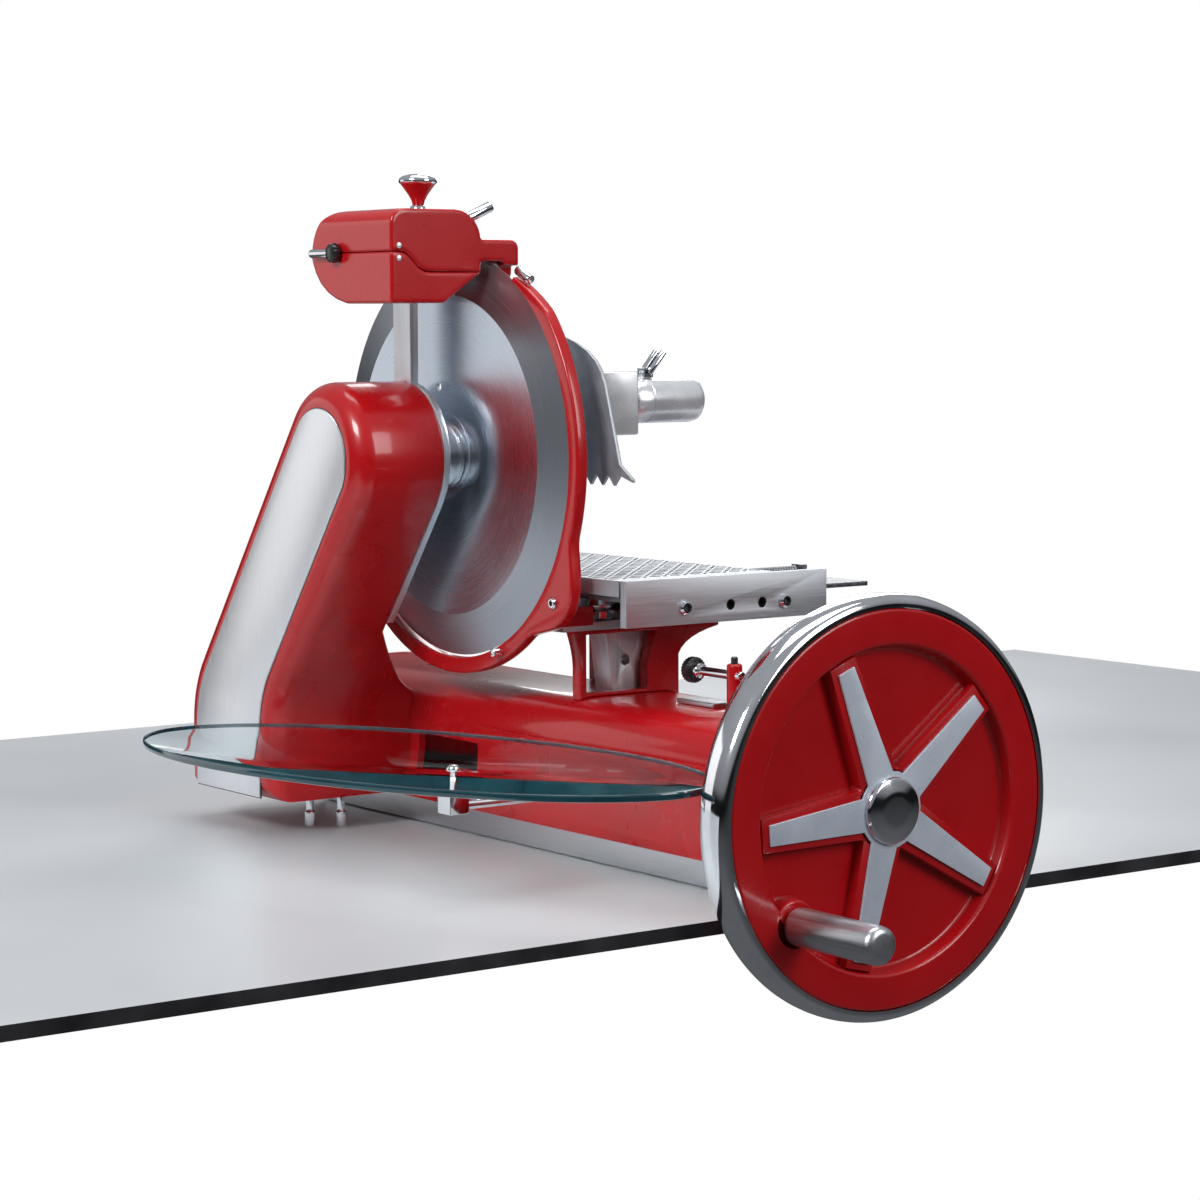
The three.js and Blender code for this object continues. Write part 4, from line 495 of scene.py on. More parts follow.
# The column's casting with the flare of its foot
COLUMN_BACK, COLUMN_BACK_EDGE = -127.0, 1.0
COLUMN_EDGE, EDGE_STEPS = 20.0, 12
FLARE_TOP, FLARE_END = 185.0, 123.0
FLARE_REACH, FLARE_SAG = 39.0, 7.0
FLARE_ROOT, ROOT_SINK = 7.0, 0.8
FLARE_EDGE = 7.0
FLARE_STEPS, SIDE_STEPS, CROWN_STEPS = 24, 14, 6
lo, hi = span("column_casting")
front, foot_back = lo[1], hi[1]
side = column_line(0, 0)
half_count = len(side) // 2
left_chain, right_chain = side[:half_count], side[half_count:][::-1]


def edge_x(chain, z):
    """Where one side of the column's outline stands at a height."""
    for (xa, za), (xb, zb) in zip(chain, chain[1:]):
        if za <= z <= zb and zb > za:
            return xa + (xb - xa) * (z - za) / (zb - za)
    return chain[-1][0]


def flare_ring(y, top, sink):
    """One cut across the flare, between the column's two sides, with its upper edges rounded."""
    lines = []
    for sign, chain in ((1, left_chain), (-1, right_chain)):
        line = []
        for j in range(SIDE_STEPS + 1):
            z = FOOT_Z + (top - FLARE_EDGE - FOOT_Z) * j / SIDE_STEPS
            line.append((edge_x(chain, z) + sign * sink, y, z))
        for j in range(1, CROWN_STEPS + 1):
            a = math.pi / 2 * j / CROWN_STEPS
            z = top - FLARE_EDGE + FLARE_EDGE * math.sin(a)
            line.append((edge_x(chain, z) + sign * (sink + FLARE_EDGE * (1 - math.cos(a))), y, z))
        lines.append(line)
    return lines[0] + lines[1][::-1]


rings = []
for k in range(EDGE_STEPS + 1):
    a = (1 - k / EDGE_STEPS) * math.pi / 2
    inset = COLUMN_EDGE * (1 - math.cos(a))
    rings.append(at_y(column_line(inset, inset), front + COLUMN_EDGE * (1 - math.sin(a))))
for inset, before in ((0, 1.8), (0, COLUMN_BACK_EDGE), (0.4, 0.3), (COLUMN_BACK_EDGE, 0)):
    rings.append(at_y(column_line(inset, inset), COLUMN_BACK - before))
column = Shape().loft(rings)
rings = [
    flare_ring(COLUMN_BACK - FLARE_ROOT, FLARE_TOP, ROOT_SINK),
    flare_ring(COLUMN_BACK - COLUMN_BACK_EDGE, FLARE_TOP, 0),
]
for k in range(FLARE_STEPS + 1):
    u = k / FLARE_STEPS
    y = bezier(COLUMN_BACK, COLUMN_BACK + FLARE_REACH, foot_back, u)
    rings.append(flare_ring(y, bezier(FLARE_TOP, FLARE_END + FLARE_SAG, FLARE_END, u), 0))
column.loft(rings)
column.make("column_casting_fine", red, "frame", "red_paint", ["column_casting"])

# The column's face plate, a dark ring of painted shade in the seam round it, its feet and the support plate
PLATE_INSET, PLATE_RISE = 22.0, 3.5
SEAM, SEAM_PROUD, SEAM_SINK = 0.8, 0.25, 1.0
FOOT_PAD, PAD_EDGE = 13.0, 2.0
lo, hi = span("column_face_plate")
rings = []
for inset, y in ((1.0, lo[1]), (0.3, lo[1] + 0.3), (0, lo[1] + 0.9), (0, hi[1])):
    rings.append(at_y(column_line(PLATE_INSET + inset, PLATE_RISE + inset), y))
face_plate = Shape().loft(rings)
face_plate.make("column_face_plate_fine", plate, "frame", "bare_steel", ["column_face_plate"])
# A dark iron ring in the seam round the plate: painted shade in the gap
seam_line = column_line(PLATE_INSET - SEAM, PLATE_RISE - SEAM)
seam = Shape().loft([at_y(seam_line, front - SEAM_PROUD), at_y(seam_line, front + SEAM_SINK)])
seam.make("face_plate_seam_shade", iron, "frame", "iron")
for node in ("column_foot_front", "column_foot_rear"):
    a, b, r, z0, z1 = round_of(node, "z")
    pad_top = z0 + FOOT_PAD
    neck = r * 0.7
    profile = [(0, z0), (r, z0), (r, pad_top), (neck, pad_top + PAD_EDGE), (neck, z1), (0, z1)]
    foot = Shape().lathe("z", a, b, soften(profile, radius=1.0))
    foot.make(node + "_fine", chrome, "frame", "bare_steel", [node])
eased("support_plate", aluminium, bevel=0.9, sharp=30)

# Base, plinth and pedestal
eased("base_casting", red, bevel=1.6, sharp=40)
eased("plinth_tray", steel)
eased("pedestal_casting", red, bevel=1.4, sharp=38)
eased("guide_block", aluminium)
eased("adjuster_strip", steel, bevel=0.7)
eased("gear_frame", iron, bevel=1.0)

# The flywheel's disc with five spokes and the boss of the crank
WHEEL_Z = 77.0
WHEEL_BACK, WHEEL_FLOOR, WHEEL_FACE = 387.0, 396.0, 408.0
WHEEL_BORE, WHEEL_RADIUS = 14.3, 157.2
RIM_WALL, RIM_FOOT, RIM_BACK, WEB_RADIUS = 129.0, 125.5, 384.0, 122.0
SPOKES, SPOKE_IN, SPOKE_OUT = 5, (20.0, 20.0), (126.5, 13.5)
HUB_ROOT, HUB_TOP = 36.5, 34.0
CRANK_ANGLE, CRANK_REACH = math.radians(220), 124.0
PIN_RADIUS, BOSS_ROOT, BOSS_TOP = 5.4, 22.0, 19.5
wheel = Shape()
profile = [
    (WHEEL_BORE, WHEEL_BACK), (WEB_RADIUS, WHEEL_BACK), (RIM_WALL, RIM_BACK), (WHEEL_RADIUS, RIM_BACK),
    (WHEEL_RADIUS, WHEEL_FACE), (RIM_WALL, WHEEL_FACE), (RIM_FOOT, WHEEL_FLOOR), (WHEEL_BORE, WHEEL_FLOOR),
]
wheel.lathe("x", 0, WHEEL_Z, soften(profile, radius=3.0, steps=5) + [profile[0]], seg=160)
for i in range(SPOKES):
    a = CRANK_ANGLE + math.pi + 2 * math.pi * i / SPOKES
    across = a + math.pi / 2
    spoke = []
    for (u, v), way in ((SPOKE_IN, -1), (SPOKE_OUT, -1), (SPOKE_OUT, 1), (SPOKE_IN, 1)):
        spoke.append(on_circle(*on_circle(0, WHEEL_Z, u, a), way * v, across))
    wheel.prism(spoke, "x", WHEEL_FLOOR - 1.5, WHEEL_FACE - 2, rim=1.8)
profile = [
    (WHEEL_BORE, WHEEL_FLOOR - 2), (HUB_ROOT, WHEEL_FLOOR - 2), (HUB_TOP, WHEEL_FACE - 2),
    (WHEEL_BORE, WHEEL_FACE - 2),
]
wheel.lathe("x", 0, WHEEL_Z, soften(profile, radius=2.2), seg=96)
profile = [
    (PIN_RADIUS, WHEEL_FLOOR - 6), (BOSS_ROOT, WHEEL_FLOOR - 2), (BOSS_TOP, WHEEL_FACE),
    (PIN_RADIUS, WHEEL_FACE),
]
wheel.lathe("x", *on_circle(0, WHEEL_Z, CRANK_REACH, CRANK_ANGLE), soften(profile, radius=2.0), seg=64)
wheel.make("flywheel_disc_fine", red, "flywheel", "red_paint", ["flywheel_disc"])

# The flywheel's rim, inlays, hub cap and crank grip
RIM_INNER, RIM_BAND, RIM_STEPS = 157.5, 10.5, 15
RIM_SIDE_SHARE, RIM_FLAT_SHARE = 0.2, 0.25
lo, hi = span("flywheel_rim")
mid, half = (lo[0] + hi[0]) / 2, (hi[0] - lo[0]) / 2
flat = RIM_INNER + RIM_BAND * RIM_SIDE_SHARE
profile = [(RIM_INNER, mid - half), (flat, mid - half)]
for k in range(RIM_STEPS):
    a = -math.pi / 2 + math.pi * (k + 0.5) / RIM_STEPS
    crown = max(RIM_FLAT_SHARE, math.sqrt(math.cos(a)))
    profile.append((RIM_INNER + RIM_BAND * crown, mid + half * math.sin(a)))
profile += [(flat, mid + half), (RIM_INNER, mid + half), (RIM_INNER, mid - half)]
rim = Shape().lathe("x", 0, WHEEL_Z, profile, seg=192)
rim.make("flywheel_rim_fine", chrome, "flywheel", "bright_chrome", ["flywheel_rim"], sharp=50)
eased("spoke_inlay", enamel, bevel=0.5)
a, b, r, x0, x1 = round_of("flywheel_hub_cap", "x")
profile = [(0, x0), (r, x0), (r * 0.94, x0 + 4.2), (r * 0.5, x1 - 0.2), (0, x1)]
cap = Shape().lathe("x", a, b, soften(profile, radius=3.0, steps=6), seg=96)
cap.make("flywheel_hub_cap_fine", chrome, "flywheel", "bright_chrome", ["flywheel_hub_cap"], sharp=60)
a, b, r, x0, x1 = round_of("crank_grip", "x")
profile = [
    (PIN_RADIUS, x0), (r - 2, x0), (r - 0.5, x0 + 1.2), (r, x0 + 4), (r, x1 - 6), (r - 0.8, x1 - 2.6),
    (r - 3, x1 - 0.6), (r - 6, x1), (0, x1),
]
grip = Shape().lathe("x", a, b, profile, seg=96)
grip.make("crank_grip_fine", steel, "crank_grip", "bare_steel", ["crank_grip"], sharp=50)

# The blade, with its turned groove, its bevel and the balance hole, cut out by a tool that is removed
BLADE_FRONT, BLADE_PLANE = -99.5, -90.0
BLADE_RADIUS, BEVEL_RADIUS, GROOVE_RADIUS = 175.0, 139.0, 36.0
EDGE_THICK, DISH_THICK = 0.6, 3.5
HOLE_X, HOLE_Z, HOLE_RADIUS = -75.9, 398.9, 4.0
HOLE_FRONT, HOLE_BACK = -110.0, -90.0
FLAT_NORMAL = 0.999
profile = [
    (0, BLADE_FRONT), (GROOVE_RADIUS, BLADE_FRONT), (GROOVE_RADIUS + 0.4, BLADE_FRONT + 0.25),
    (GROOVE_RADIUS + 1, BLADE_FRONT + 0.25), (GROOVE_RADIUS + 1.4, BLADE_FRONT),
    (BEVEL_RADIUS, BLADE_FRONT), (BLADE_RADIUS, BLADE_PLANE), (BLADE_RADIUS, BLADE_PLANE + EDGE_THICK),
    (BEVEL_RADIUS, BLADE_FRONT + DISH_THICK), (0, BLADE_FRONT + DISH_THICK),
]
disc = Shape().lathe("y", BLADE_X, BLADE_Z, profile, seg=192, marks=[0, 0, 0, 0, 0, 1, 1, 1, 0])
blade = disc.make("blade_fine", [blade_steel, bevel_steel], "blade", "polished_blade", ["blade"], sharp=5)
profile = [(0, HOLE_FRONT), (HOLE_RADIUS, HOLE_FRONT), (HOLE_RADIUS, HOLE_BACK), (0, HOLE_BACK)]
drill = Shape().lathe("y", HOLE_X, HOLE_Z, profile, seg=32).make("balance_hole_tool", iron, "blade", "iron")
cut = blade.modifiers.new("hole", "BOOLEAN")
cut.operation = "DIFFERENCE"
cut.object = drill
cut.solver = "EXACT"
bpy.context.view_layer.update()
bored = bpy.data.meshes.new_from_object(blade.evaluated_get(bpy.context.evaluated_depsgraph_get()))
blade.modifiers.clear()
blade.data = bored
for polygon in bored.polygons:
    polygon.use_smooth = abs(polygon.normal.y) < FLAT_NORMAL
bpy.data.objects.remove(drill)

# The blade's hub with its five screws
HUB_SCREWS, SCREW_REACH, SCREW_START = 5, 17.5, math.radians(20)
HUB_NOSE, HUB_NECK, HUB_FLANGE = 22.3, 24.0, 31.0
lo, hi = span("blade_hub")
y0, y1 = lo[1], hi[1]
hub = Shape()
profile = [
    (0, y0), (HUB_NOSE, y0), (HUB_NECK, y0 + 3.4), (HUB_FLANGE - 1.4, y0 + 3.6), (HUB_FLANGE, y0 + 5),
    (HUB_FLANGE, y1 - 6), (HUB_FLANGE - 1, y1 - 5.6), (HUB_FLANGE - 1, y1 - 4.8), (HUB_FLANGE, y1 - 4.4),
    (HUB_FLANGE, y1 - 0.6), (HUB_FLANGE - 0.6, y1), (0, y1),
]
hub.lathe("y", BLADE_X, BLADE_Z, soften(profile, radius=0.8), seg=128, mark=0)
for i in range(HUB_SCREWS):
    x, z = on_circle(BLADE_X, BLADE_Z, SCREW_REACH, SCREW_START + 2 * math.pi * i / HUB_SCREWS)
    hub.lathe("y", x, z, [(0, y0 - 0.2), (2.4, y0 - 0.2), (2.8, y0 + 0.4)], seg=20, mark=1)
hub.make("blade_hub_fine", [hub_steel, dark], "blade", "bright_chrome", ["blade_hub"])

# The ring guard: an arc that thins towards its upper end, with a lobe and a bracket. Angles are in degrees
GUARD_INNER, GUARD_WIDE, GUARD_THIN = 177.0, 14.0, 5.0
GUARD_FRONT, GUARD_BACK = -95.5, -84.5
GUARD_START, GUARD_SWEEP, GUARD_STEPS = 57, 207, 170
TAPER = 16
LOBE_ANGLE, LOBE_SPREAD, LOBE_HEIGHT = -36, 17, 24
BRACKET_LEFT, BRACKET_RIGHT, BRACKET_BOTTOM, BRACKET_TOP = 47.4, 93.4, 200.5, 216.5
BRACKET_FRONT, BRACKET_BACK = -90.0, -56.0
SADDLE_RIGHT, SADDLE_STEPS = 61.8, 8
LOBE_SCREW_X, LOBE_SCREW_Z = 91.0, 221.0


def guard_outer(angle):
    """The ring's outer radius: it tapers to its start and swells into a lobe for the screw."""
    lobe = max(0.0, 1 - ((angle - LOBE_ANGLE) / LOBE_SPREAD) ** 2)
    taper = min(1.0, (GUARD_START - angle) / TAPER)
    return GUARD_INNER + GUARD_THIN + (GUARD_WIDE - GUARD_THIN) * taper + LOBE_HEIGHT * lobe * lobe


rings = []
for k in range(GUARD_STEPS + 1):
    angle = GUARD_START - GUARD_SWEEP * k / GUARD_STEPS
    outer = guard_outer(angle)
    corners = [(GUARD_INNER, GUARD_FRONT), (outer, GUARD_FRONT)]
    corners += [(outer, GUARD_BACK), (GUARD_INNER, GUARD_BACK)]
    ring = []
    for r, y in soften(corners, radius=2.6, closed=True):
        x, z = on_circle(BLADE_X, BLADE_Z, r, math.radians(angle))
        ring.append((x, y, z))
    rings.append(ring)
guard = Shape().loft(rings)
saddle = []
for k in range(SADDLE_STEPS + 1):
    x = BRACKET_LEFT + (SADDLE_RIGHT - BRACKET_LEFT) * k / SADDLE_STEPS
    saddle.append((x, BLADE_Z - math.sqrt(GUARD_INNER ** 2 - (x - BLADE_X) ** 2)))
bracket = [
    (BRACKET_LEFT, BRACKET_BOTTOM), (BRACKET_RIGHT, BRACKET_BOTTOM), (BRACKET_RIGHT, BRACKET_TOP),
    *saddle[::-1],
]
guard.prism(bracket, "y", BRACKET_FRONT, BRACKET_BACK, rim=1.2)
guard.make("ring_guard_fine", red, "ring_guard", "red_paint", ["ring_guard"], sharp=40)
a, b, r, y0, y1 = round_of("guard_pin", "y")
pin = Shape().lathe("y", a, b, soften([(0, y0), (r, y0), (r, y1), (0, y1)], radius=0.9), seg=40)
pin.make("guard_pin_fine", chrome, "ring_guard", "bright_chrome", ["guard_pin"])
screw = Shape()
socket_screw(screw, "y", LOBE_SCREW_X, LOBE_SCREW_Z, GUARD_FRONT + 0.1, -1, radius=5.0, head=3.2)
# The iron in the screw's socket is painted shade
screw.make("guard_screw", [chrome, iron], "ring_guard", "bright_chrome")
eased("guard_stud", chrome, bevel=0.9)

# The sharpener's two castings and its top knob: a chrome base, a red trumpet and a chrome cap
cast("sharpener_cover")
cast("sharpener_lower_shell")
base_shares = [(0, 0), (0.28, 0), (0.28, 0.155), (0.42, 0.16), (0.40, 0.22), (0.29, 0.25)]
trumpet_shares = [(0.29, 0.25), (0.34, 0.36), (0.5, 0.5), (0.74, 0.66), (0.9, 0.76)]
cap_shares = [(0.9, 0.76), (0.98, 0.79), (1, 0.83), (0.95, 0.9), (0.8, 0.95), (0.45, 0.99), (0, 1)]
a, b, r, z0, z1 = round_of("sharpener_top_knob", "z")
knob = Shape()
for shares, mark in ((base_shares, 0), (trumpet_shares, 1), (cap_shares, 0)):
    knob.lathe("z", a, b, [(r * wide, z0 + (z1 - z0) * high) for wide, high in shares], seg=72, mark=mark)
knob.make("sharpener_top_knob_fine", [chrome, red], "sharpener_top_knob", "bright_chrome",
          ["sharpener_top_knob"], sharp=60)
eased("sharpener_lock_pin", chrome, bevel=0.9, sharp=50)

# The sharpener's end knob on its cross bar
KNOB_RADIUS, KNOB_SINK = 8.5, 5.4
BAR_RADIUS, BAR_RISE = 3.8, 4.2
lo, hi = span("sharpener_end_knob")
knob_x, knob_z, knob_back = hi[0] - KNOB_RADIUS, (lo[2] + hi[2]) / 2, hi[1]
knob = Shape()
outline = ridged(knob_x, knob_z, KNOB_RADIUS, steps=72, period=6, wide=4, valley_share=0.94)
knob.prism(outline, "y", lo[1], knob_back - KNOB_SINK, rim=2.4)
neck = [(0, knob_back - 6), (4.2, knob_back - 6), (4.2, knob_back), (0, knob_back)]
knob.lathe("y", knob_x, knob_z, soften(neck, radius=0.5), seg=32)
bar = [(0, lo[0]), (BAR_RADIUS, lo[0]), (BAR_RADIUS, knob_x), (0, knob_x)]
knob.lathe("x", lo[1] + BAR_RISE, knob_z, soften(bar, radius=1.2), seg=40, mark=1)
knob.make("sharpener_end_knob_fine", [black, chrome], "sharpener_end_knob", "black_knob",
          ["sharpener_end_knob"])

# The two stones and the rivets on the sharpener's side
STONE_BORE = 4.3
RIVET_Y, RIVET_HEIGHTS = -184.5, (519.0, 508.6)
for node in ("honing_stone", "grinding_stone"):
    a, b, r, y0, y1 = round_of(node, "y")
    profile = [
        (STONE_BORE, y0), (r * 0.4, y0), (r * 0.42, y0 + 0.5), (r - 0.8, y0 + 0.5), (r, y0 + 1.2),
        (r, y1 - 1.2), (r - 0.8, y1 - 0.5), (r * 0.42, y1 - 0.5), (r * 0.4, y1), (STONE_BORE, y1),
        (STONE_BORE, y0),
    ]
    stone = Shape().lathe("y", a, b, profile, seg=72)
    stone.make(node + "_fine", grit, body_of[node], "stone", [node], sharp=40)
rivets = Shape()
for z in RIVET_HEIGHTS:
    rivets.lathe("x", RIVET_Y, z, [(2.4, -4.4), (2.4, -3.2), (1.6, -2.5), (0, -2.3)], seg=24)
rivets.make("sharpener_rivets", satin, "sharpener", "bright_chrome")

# The flange and its four grooved rollers
ROLLER_BORE = 4.3
eased("flange_plate", steel)
for corner in ("front_right", "front_left", "rear_right", "rear_left"):
    node = "guide_roller_" + corner
    a, b, r, z0, z1 = round_of(node, "z")
    m = (z0 + z1) / 2
    profile = [
        (ROLLER_BORE, z0), (r - 1, z0), (r, z0 + 1), (r, m - 2.8), (r - 0.4, m - 2.2), (r - 2.5, m),
        (r - 0.4, m + 2.2), (r, m + 2.8), (r, z1 - 1), (r - 1, z1), (r * 0.6, z1), (r * 0.58, z1 - 0.8),
        (ROLLER_BORE, z1 - 0.8), (ROLLER_BORE, z0),
    ]
    roller = Shape().lathe("z", a, b, profile, seg=64)
    roller.make(node + "_fine", chrome, body_of[node], "bright_chrome", [node], sharp=30)

# The carriage, with the screws of its end bar and black cups of painted shade in the bar's holes
END_BAR_Z, END_BAR_FACE = 217.0, 158.0
END_SCREW_PLACES, END_HOLE_PLACES = (-9.0, 98.0), (40.0, 74.0)
SHADE_CUP_OUTER, SHADE_CUP_INNER, SHADE_CUP_SINK = 4.5, 3.9, 0.3
for node in ("carriage_rail_front", "carriage_rail_rear", "carriage_end_block"):
    eased(node, steel, bevel=0.5)
eased("carriage_plate", dark, bevel=0.6)
eased("carriage_end_bar", steel_y)
screws = Shape()
for y in END_SCREW_PLACES:
    socket_screw(screws, "x", y, END_BAR_Z, END_BAR_FACE, 1, radius=6.0, head=4.0)
# The iron in the screws' sockets is painted shade
screws.make("end_bar_screws", [chrome, iron], "carriage", "bare_steel")
lo, hi = span("carriage_end_bar")
outer, inner = SHADE_CUP_OUTER, SHADE_CUP_INNER
mouth, bottom = hi[0] - SHADE_CUP_SINK, lo[0] + 1
# Black cups in the holes stand for the dark inside them: painted shade
hole_shade_cups = Shape()
for y in END_HOLE_PLACES:
    cup = [
        (outer, mouth), (outer, bottom), (0, bottom), (0, bottom + 0.8), (inner, bottom + 0.8),
        (inner, mouth), (outer, mouth),
    ]
    hole_shade_cups.lathe("x", y, END_BAR_Z, cup, seg=32)
hole_shade_cups.make("end_bar_hole_shade", black, "carriage", "bare_steel")

# The food table, with lozenges in turn one way and the other, left out round the press post, in a darker
# copy of the aluminium as painted shade
TABLE_TOP = 242.0
TREAD_COLUMNS, TREAD_ROWS = 27, 15
TREAD_X, TREAD_Y = -148.0, -63.0
TREAD_STEP_X, TREAD_STEP_Y = 11.2, 10.6
TREAD_END_X, TREAD_END_Y = 143.0, 87.0
LOZENGE_SINK, LOZENGE_HEIGHT = 0.2, 0.7
POST_X, POST_Y, POST_ROOM = -15.0, -30.0, 26.0


def lozenge(tip, shoulder, half_width):
    """A long hexagon, pointed at both ends."""
    return [
        (-tip, 0), (-shoulder, -half_width), (shoulder, -half_width), (tip, 0), (shoulder, half_width),
        (-shoulder, half_width),
    ]


LOZENGE_FOOT = lozenge(tip=5.4, shoulder=2.6, half_width=1.7)
LOZENGE_CROWN = lozenge(tip=4.0, shoulder=2.2, half_width=0.8)
eased("food_table", tread)
lozenges = Shape()
for i in range(TREAD_COLUMNS):
    for j in range(TREAD_ROWS):
        x, y = TREAD_X + i * TREAD_STEP_X, TREAD_Y + j * TREAD_STEP_Y
        by_post = (x - POST_X) ** 2 + (y - POST_Y) ** 2 < POST_ROOM ** 2
        if by_post or x > TREAD_END_X or y > TREAD_END_Y:
            continue
        angle = math.radians(45 if (i + j) % 2 else -45)
        low = turned(x, y, TABLE_TOP - LOZENGE_SINK, angle, LOZENGE_FOOT)
        high = turned(x, y, TABLE_TOP + LOZENGE_HEIGHT, angle, LOZENGE_CROWN)
        lozenges.loft([low, high])
# The raised lozenges take the darker copy of the aluminium: painted shade
lozenges.make("table_tread", tread_shade_mark, "food_table", "tread_aluminium")

# The feed screw, with its thread
THREAD_PITCH, THREAD_DEPTH_SHARE = 3.0, 0.07
THREAD_AROUND, RINGS_PER_TURN = 16, 6
a, b, r, y0, y1 = round_of("feed_screw", "y")
ring_count = int((y1 - y0) / THREAD_PITCH) * RINGS_PER_TURN
rings = []
for k in range(ring_count + 1):
    y = y0 + (y1 - y0) * k / ring_count
    ring = []
    for i in range(THREAD_AROUND):
        angle = 2 * math.pi * i / THREAD_AROUND
        wave = math.cos(angle - 2 * math.pi * k / RINGS_PER_TURN)
        x, z = on_circle(a, b, r * (1 - THREAD_DEPTH_SHARE + THREAD_DEPTH_SHARE * wave), angle)
        ring.append((x, y, z))
    rings.append(ring)
Shape().loft(rings).make("feed_screw_fine", drive, "feed_screw", "drive_steel", ["feed_screw"], sharp=60)

# The meat press
POST_RADIUS = 9.0
GROOVE_START, GROOVE_END, GROOVE_SINK = 16.0, 18.2, 0.7
PRESS_RIVETS, RIVET_X, RIVET_STEP, RIVET_Z = 3, 14.0, 26.0, 425.0
lo, hi = span("press_post")
r, z0, z1 = POST_RADIUS, lo[2], hi[2]
profile = [
    (0, z0), (r * 2, z0), (r * 2, z0 + 3), (r * 1.7, z0 + 5), (r * 1.15, z0 + 5.8), (r, z0 + 7),
    (r, z1 - 2), (r - 2, z1), (0, z1),
]
post = Shape().lathe("z", POST_X, POST_Y, soften(profile, radius=1.0), seg=72)
post.make("press_post_fine", chrome, "food_table", "bright_chrome", ["press_post"])
eased("press_arm", satin, bevel=2.0, sharp=32)
eased("press_plate", press_steel, bevel=0.5)
a, b, r, y0, y1 = round_of("press_grip", "y")
groove = r - GROOVE_SINK
profile = [
    (0, y0), (r - 5, y0), (r - 1.4, y0 + 1.2), (r, y0 + 5), (r, y0 + GROOVE_START),
    (groove, y0 + GROOVE_START + 0.6), (groove, y0 + GROOVE_END - 0.6), (r, y0 + GROOVE_END),
    (r, y1 - 8), (r - 1.2, y1 - 3.4), (r - 4, y1 - 0.9), (r - 7, y1), (0, y1),
]
grip = Shape().lathe("y", a, b, profile, seg=96)
grip.make("press_grip_fine", satin, "press", "bright_chrome", ["press_grip"], sharp=45)
eased("lock_lever", chrome, bevel=0.9, sharp=50)
rivets = Shape()
for k in range(PRESS_RIVETS):
    head = [(0, -57.2), (3.4, -57.2), (3.4, -56.4), (2.4, -55.4), (0, -55.1)]
    rivets.lathe("y", RIVET_X + RIVET_STEP * k, RIVET_Z, head, seg=24)
rivets.make("press_plate_rivets", chrome, "press", "bright_chrome")

# The oval glass tray, with its ground edge in a second material, and its arms
TRAY_X, TRAY_Y, TRAY_YAW = 90.0, -234.0, math.radians(14)
TRAY_HALF_LENGTH, TRAY_HALF_WIDTH = 291.0, 136.0
TRAY_STEPS = 220
lo, hi = span("glass_tray")
z0, z1 = lo[2], hi[2]
levels = [(1.6, z0), (0.6, z0 + 0.5), (0.2, z0 + 1.6), (0.2, z1 - 1.6), (0.6, z1 - 0.5), (1.6, z1)]


def tray_ring(inset, z):
    """The tray's oval at one height, moved inwards."""
    points = []
    for i in range(TRAY_STEPS):
        t = 2 * math.pi * i / TRAY_STEPS
        points.append(((TRAY_HALF_LENGTH - inset) * math.cos(t), (TRAY_HALF_WIDTH - inset) * math.sin(t)))
    return turned(TRAY_X, TRAY_Y, z, TRAY_YAW, points)


edge_marks = [1] * (TRAY_STEPS * (len(levels) - 1))
pane = Shape().loft([tray_ring(inset, z) for inset, z in levels], edge_marks + [0, 0])
pane.make("glass_tray_fine", [glass, glass_edge], "tray", "tray_glass", ["glass_tray"], sharp=40)
eased("tray_arm_1", chrome, bevel=0.6, sharp=40)
eased("tray_arm_2", chrome, bevel=0.6, sharp=40)

# The slice adjuster: a red post with a black tip, and a chrome spindle with a black knob
ADJUSTER_X, ADJUSTER_Y, ADJUSTER_Z = 203.0, 8.0, 163.0
ADJUSTER_RADIUS = 6.5
SPINDLE_START, SPINDLE_RADIUS, COLLAR_RADIUS = 147.0, 3.9, 6.5
ADJUSTER_KNOB, ADJUSTER_KNOB_LENGTH = 11.0, 7.0
lo, hi = span("adjuster_post")
r, top = ADJUSTER_RADIUS, ADJUSTER_Z + ADJUSTER_RADIUS * 1.5
profile = [(0, lo[2]), (r, lo[2]), (r, ADJUSTER_Z + r * 1.3), (r * 0.8, top), (0, top)]
tip = [(r * 0.45, ADJUSTER_Z + r * 1.45), (r * 0.45, hi[2] - 0.8), (r * 0.3, hi[2]), (0, hi[2])]
post = Shape().lathe("z", ADJUSTER_X, ADJUSTER_Y, soften(profile, radius=1.2), seg=48, mark=0)
post.lathe("z", ADJUSTER_X, ADJUSTER_Y, tip, seg=32, mark=1)
post.make("adjuster_post_fine", [red, black], "frame", "red_paint", ["adjuster_post"])
lo, hi = span("adjuster_spindle")
r, start, end = SPINDLE_RADIUS, SPINDLE_START, hi[0]
spindle = Shape()
rod = soften([(0, start), (r, start), (r, end), (0, end)], radius=0.8)
collar = [(r, start + 4), (COLLAR_RADIUS, start + 4.5), (COLLAR_RADIUS, start + 11), (r, start + 13)]
spindle.lathe("x", ADJUSTER_Y, ADJUSTER_Z, rod, seg=40, mark=0)
spindle.lathe("x", ADJUSTER_Y, ADJUSTER_Z, soften(collar, radius=0.8), seg=40, mark=0)
outline = ridged(ADJUSTER_Y, ADJUSTER_Z, ADJUSTER_KNOB, steps=96, period=4, wide=2, valley_share=0.95)
spindle.prism(outline, "x", lo[0], lo[0] + ADJUSTER_KNOB_LENGTH, rim=0.6, mark=1)
spindle.make("adjuster_spindle_fine", [chrome, black], "adjuster", "bright_chrome", ["adjuster_spindle"])

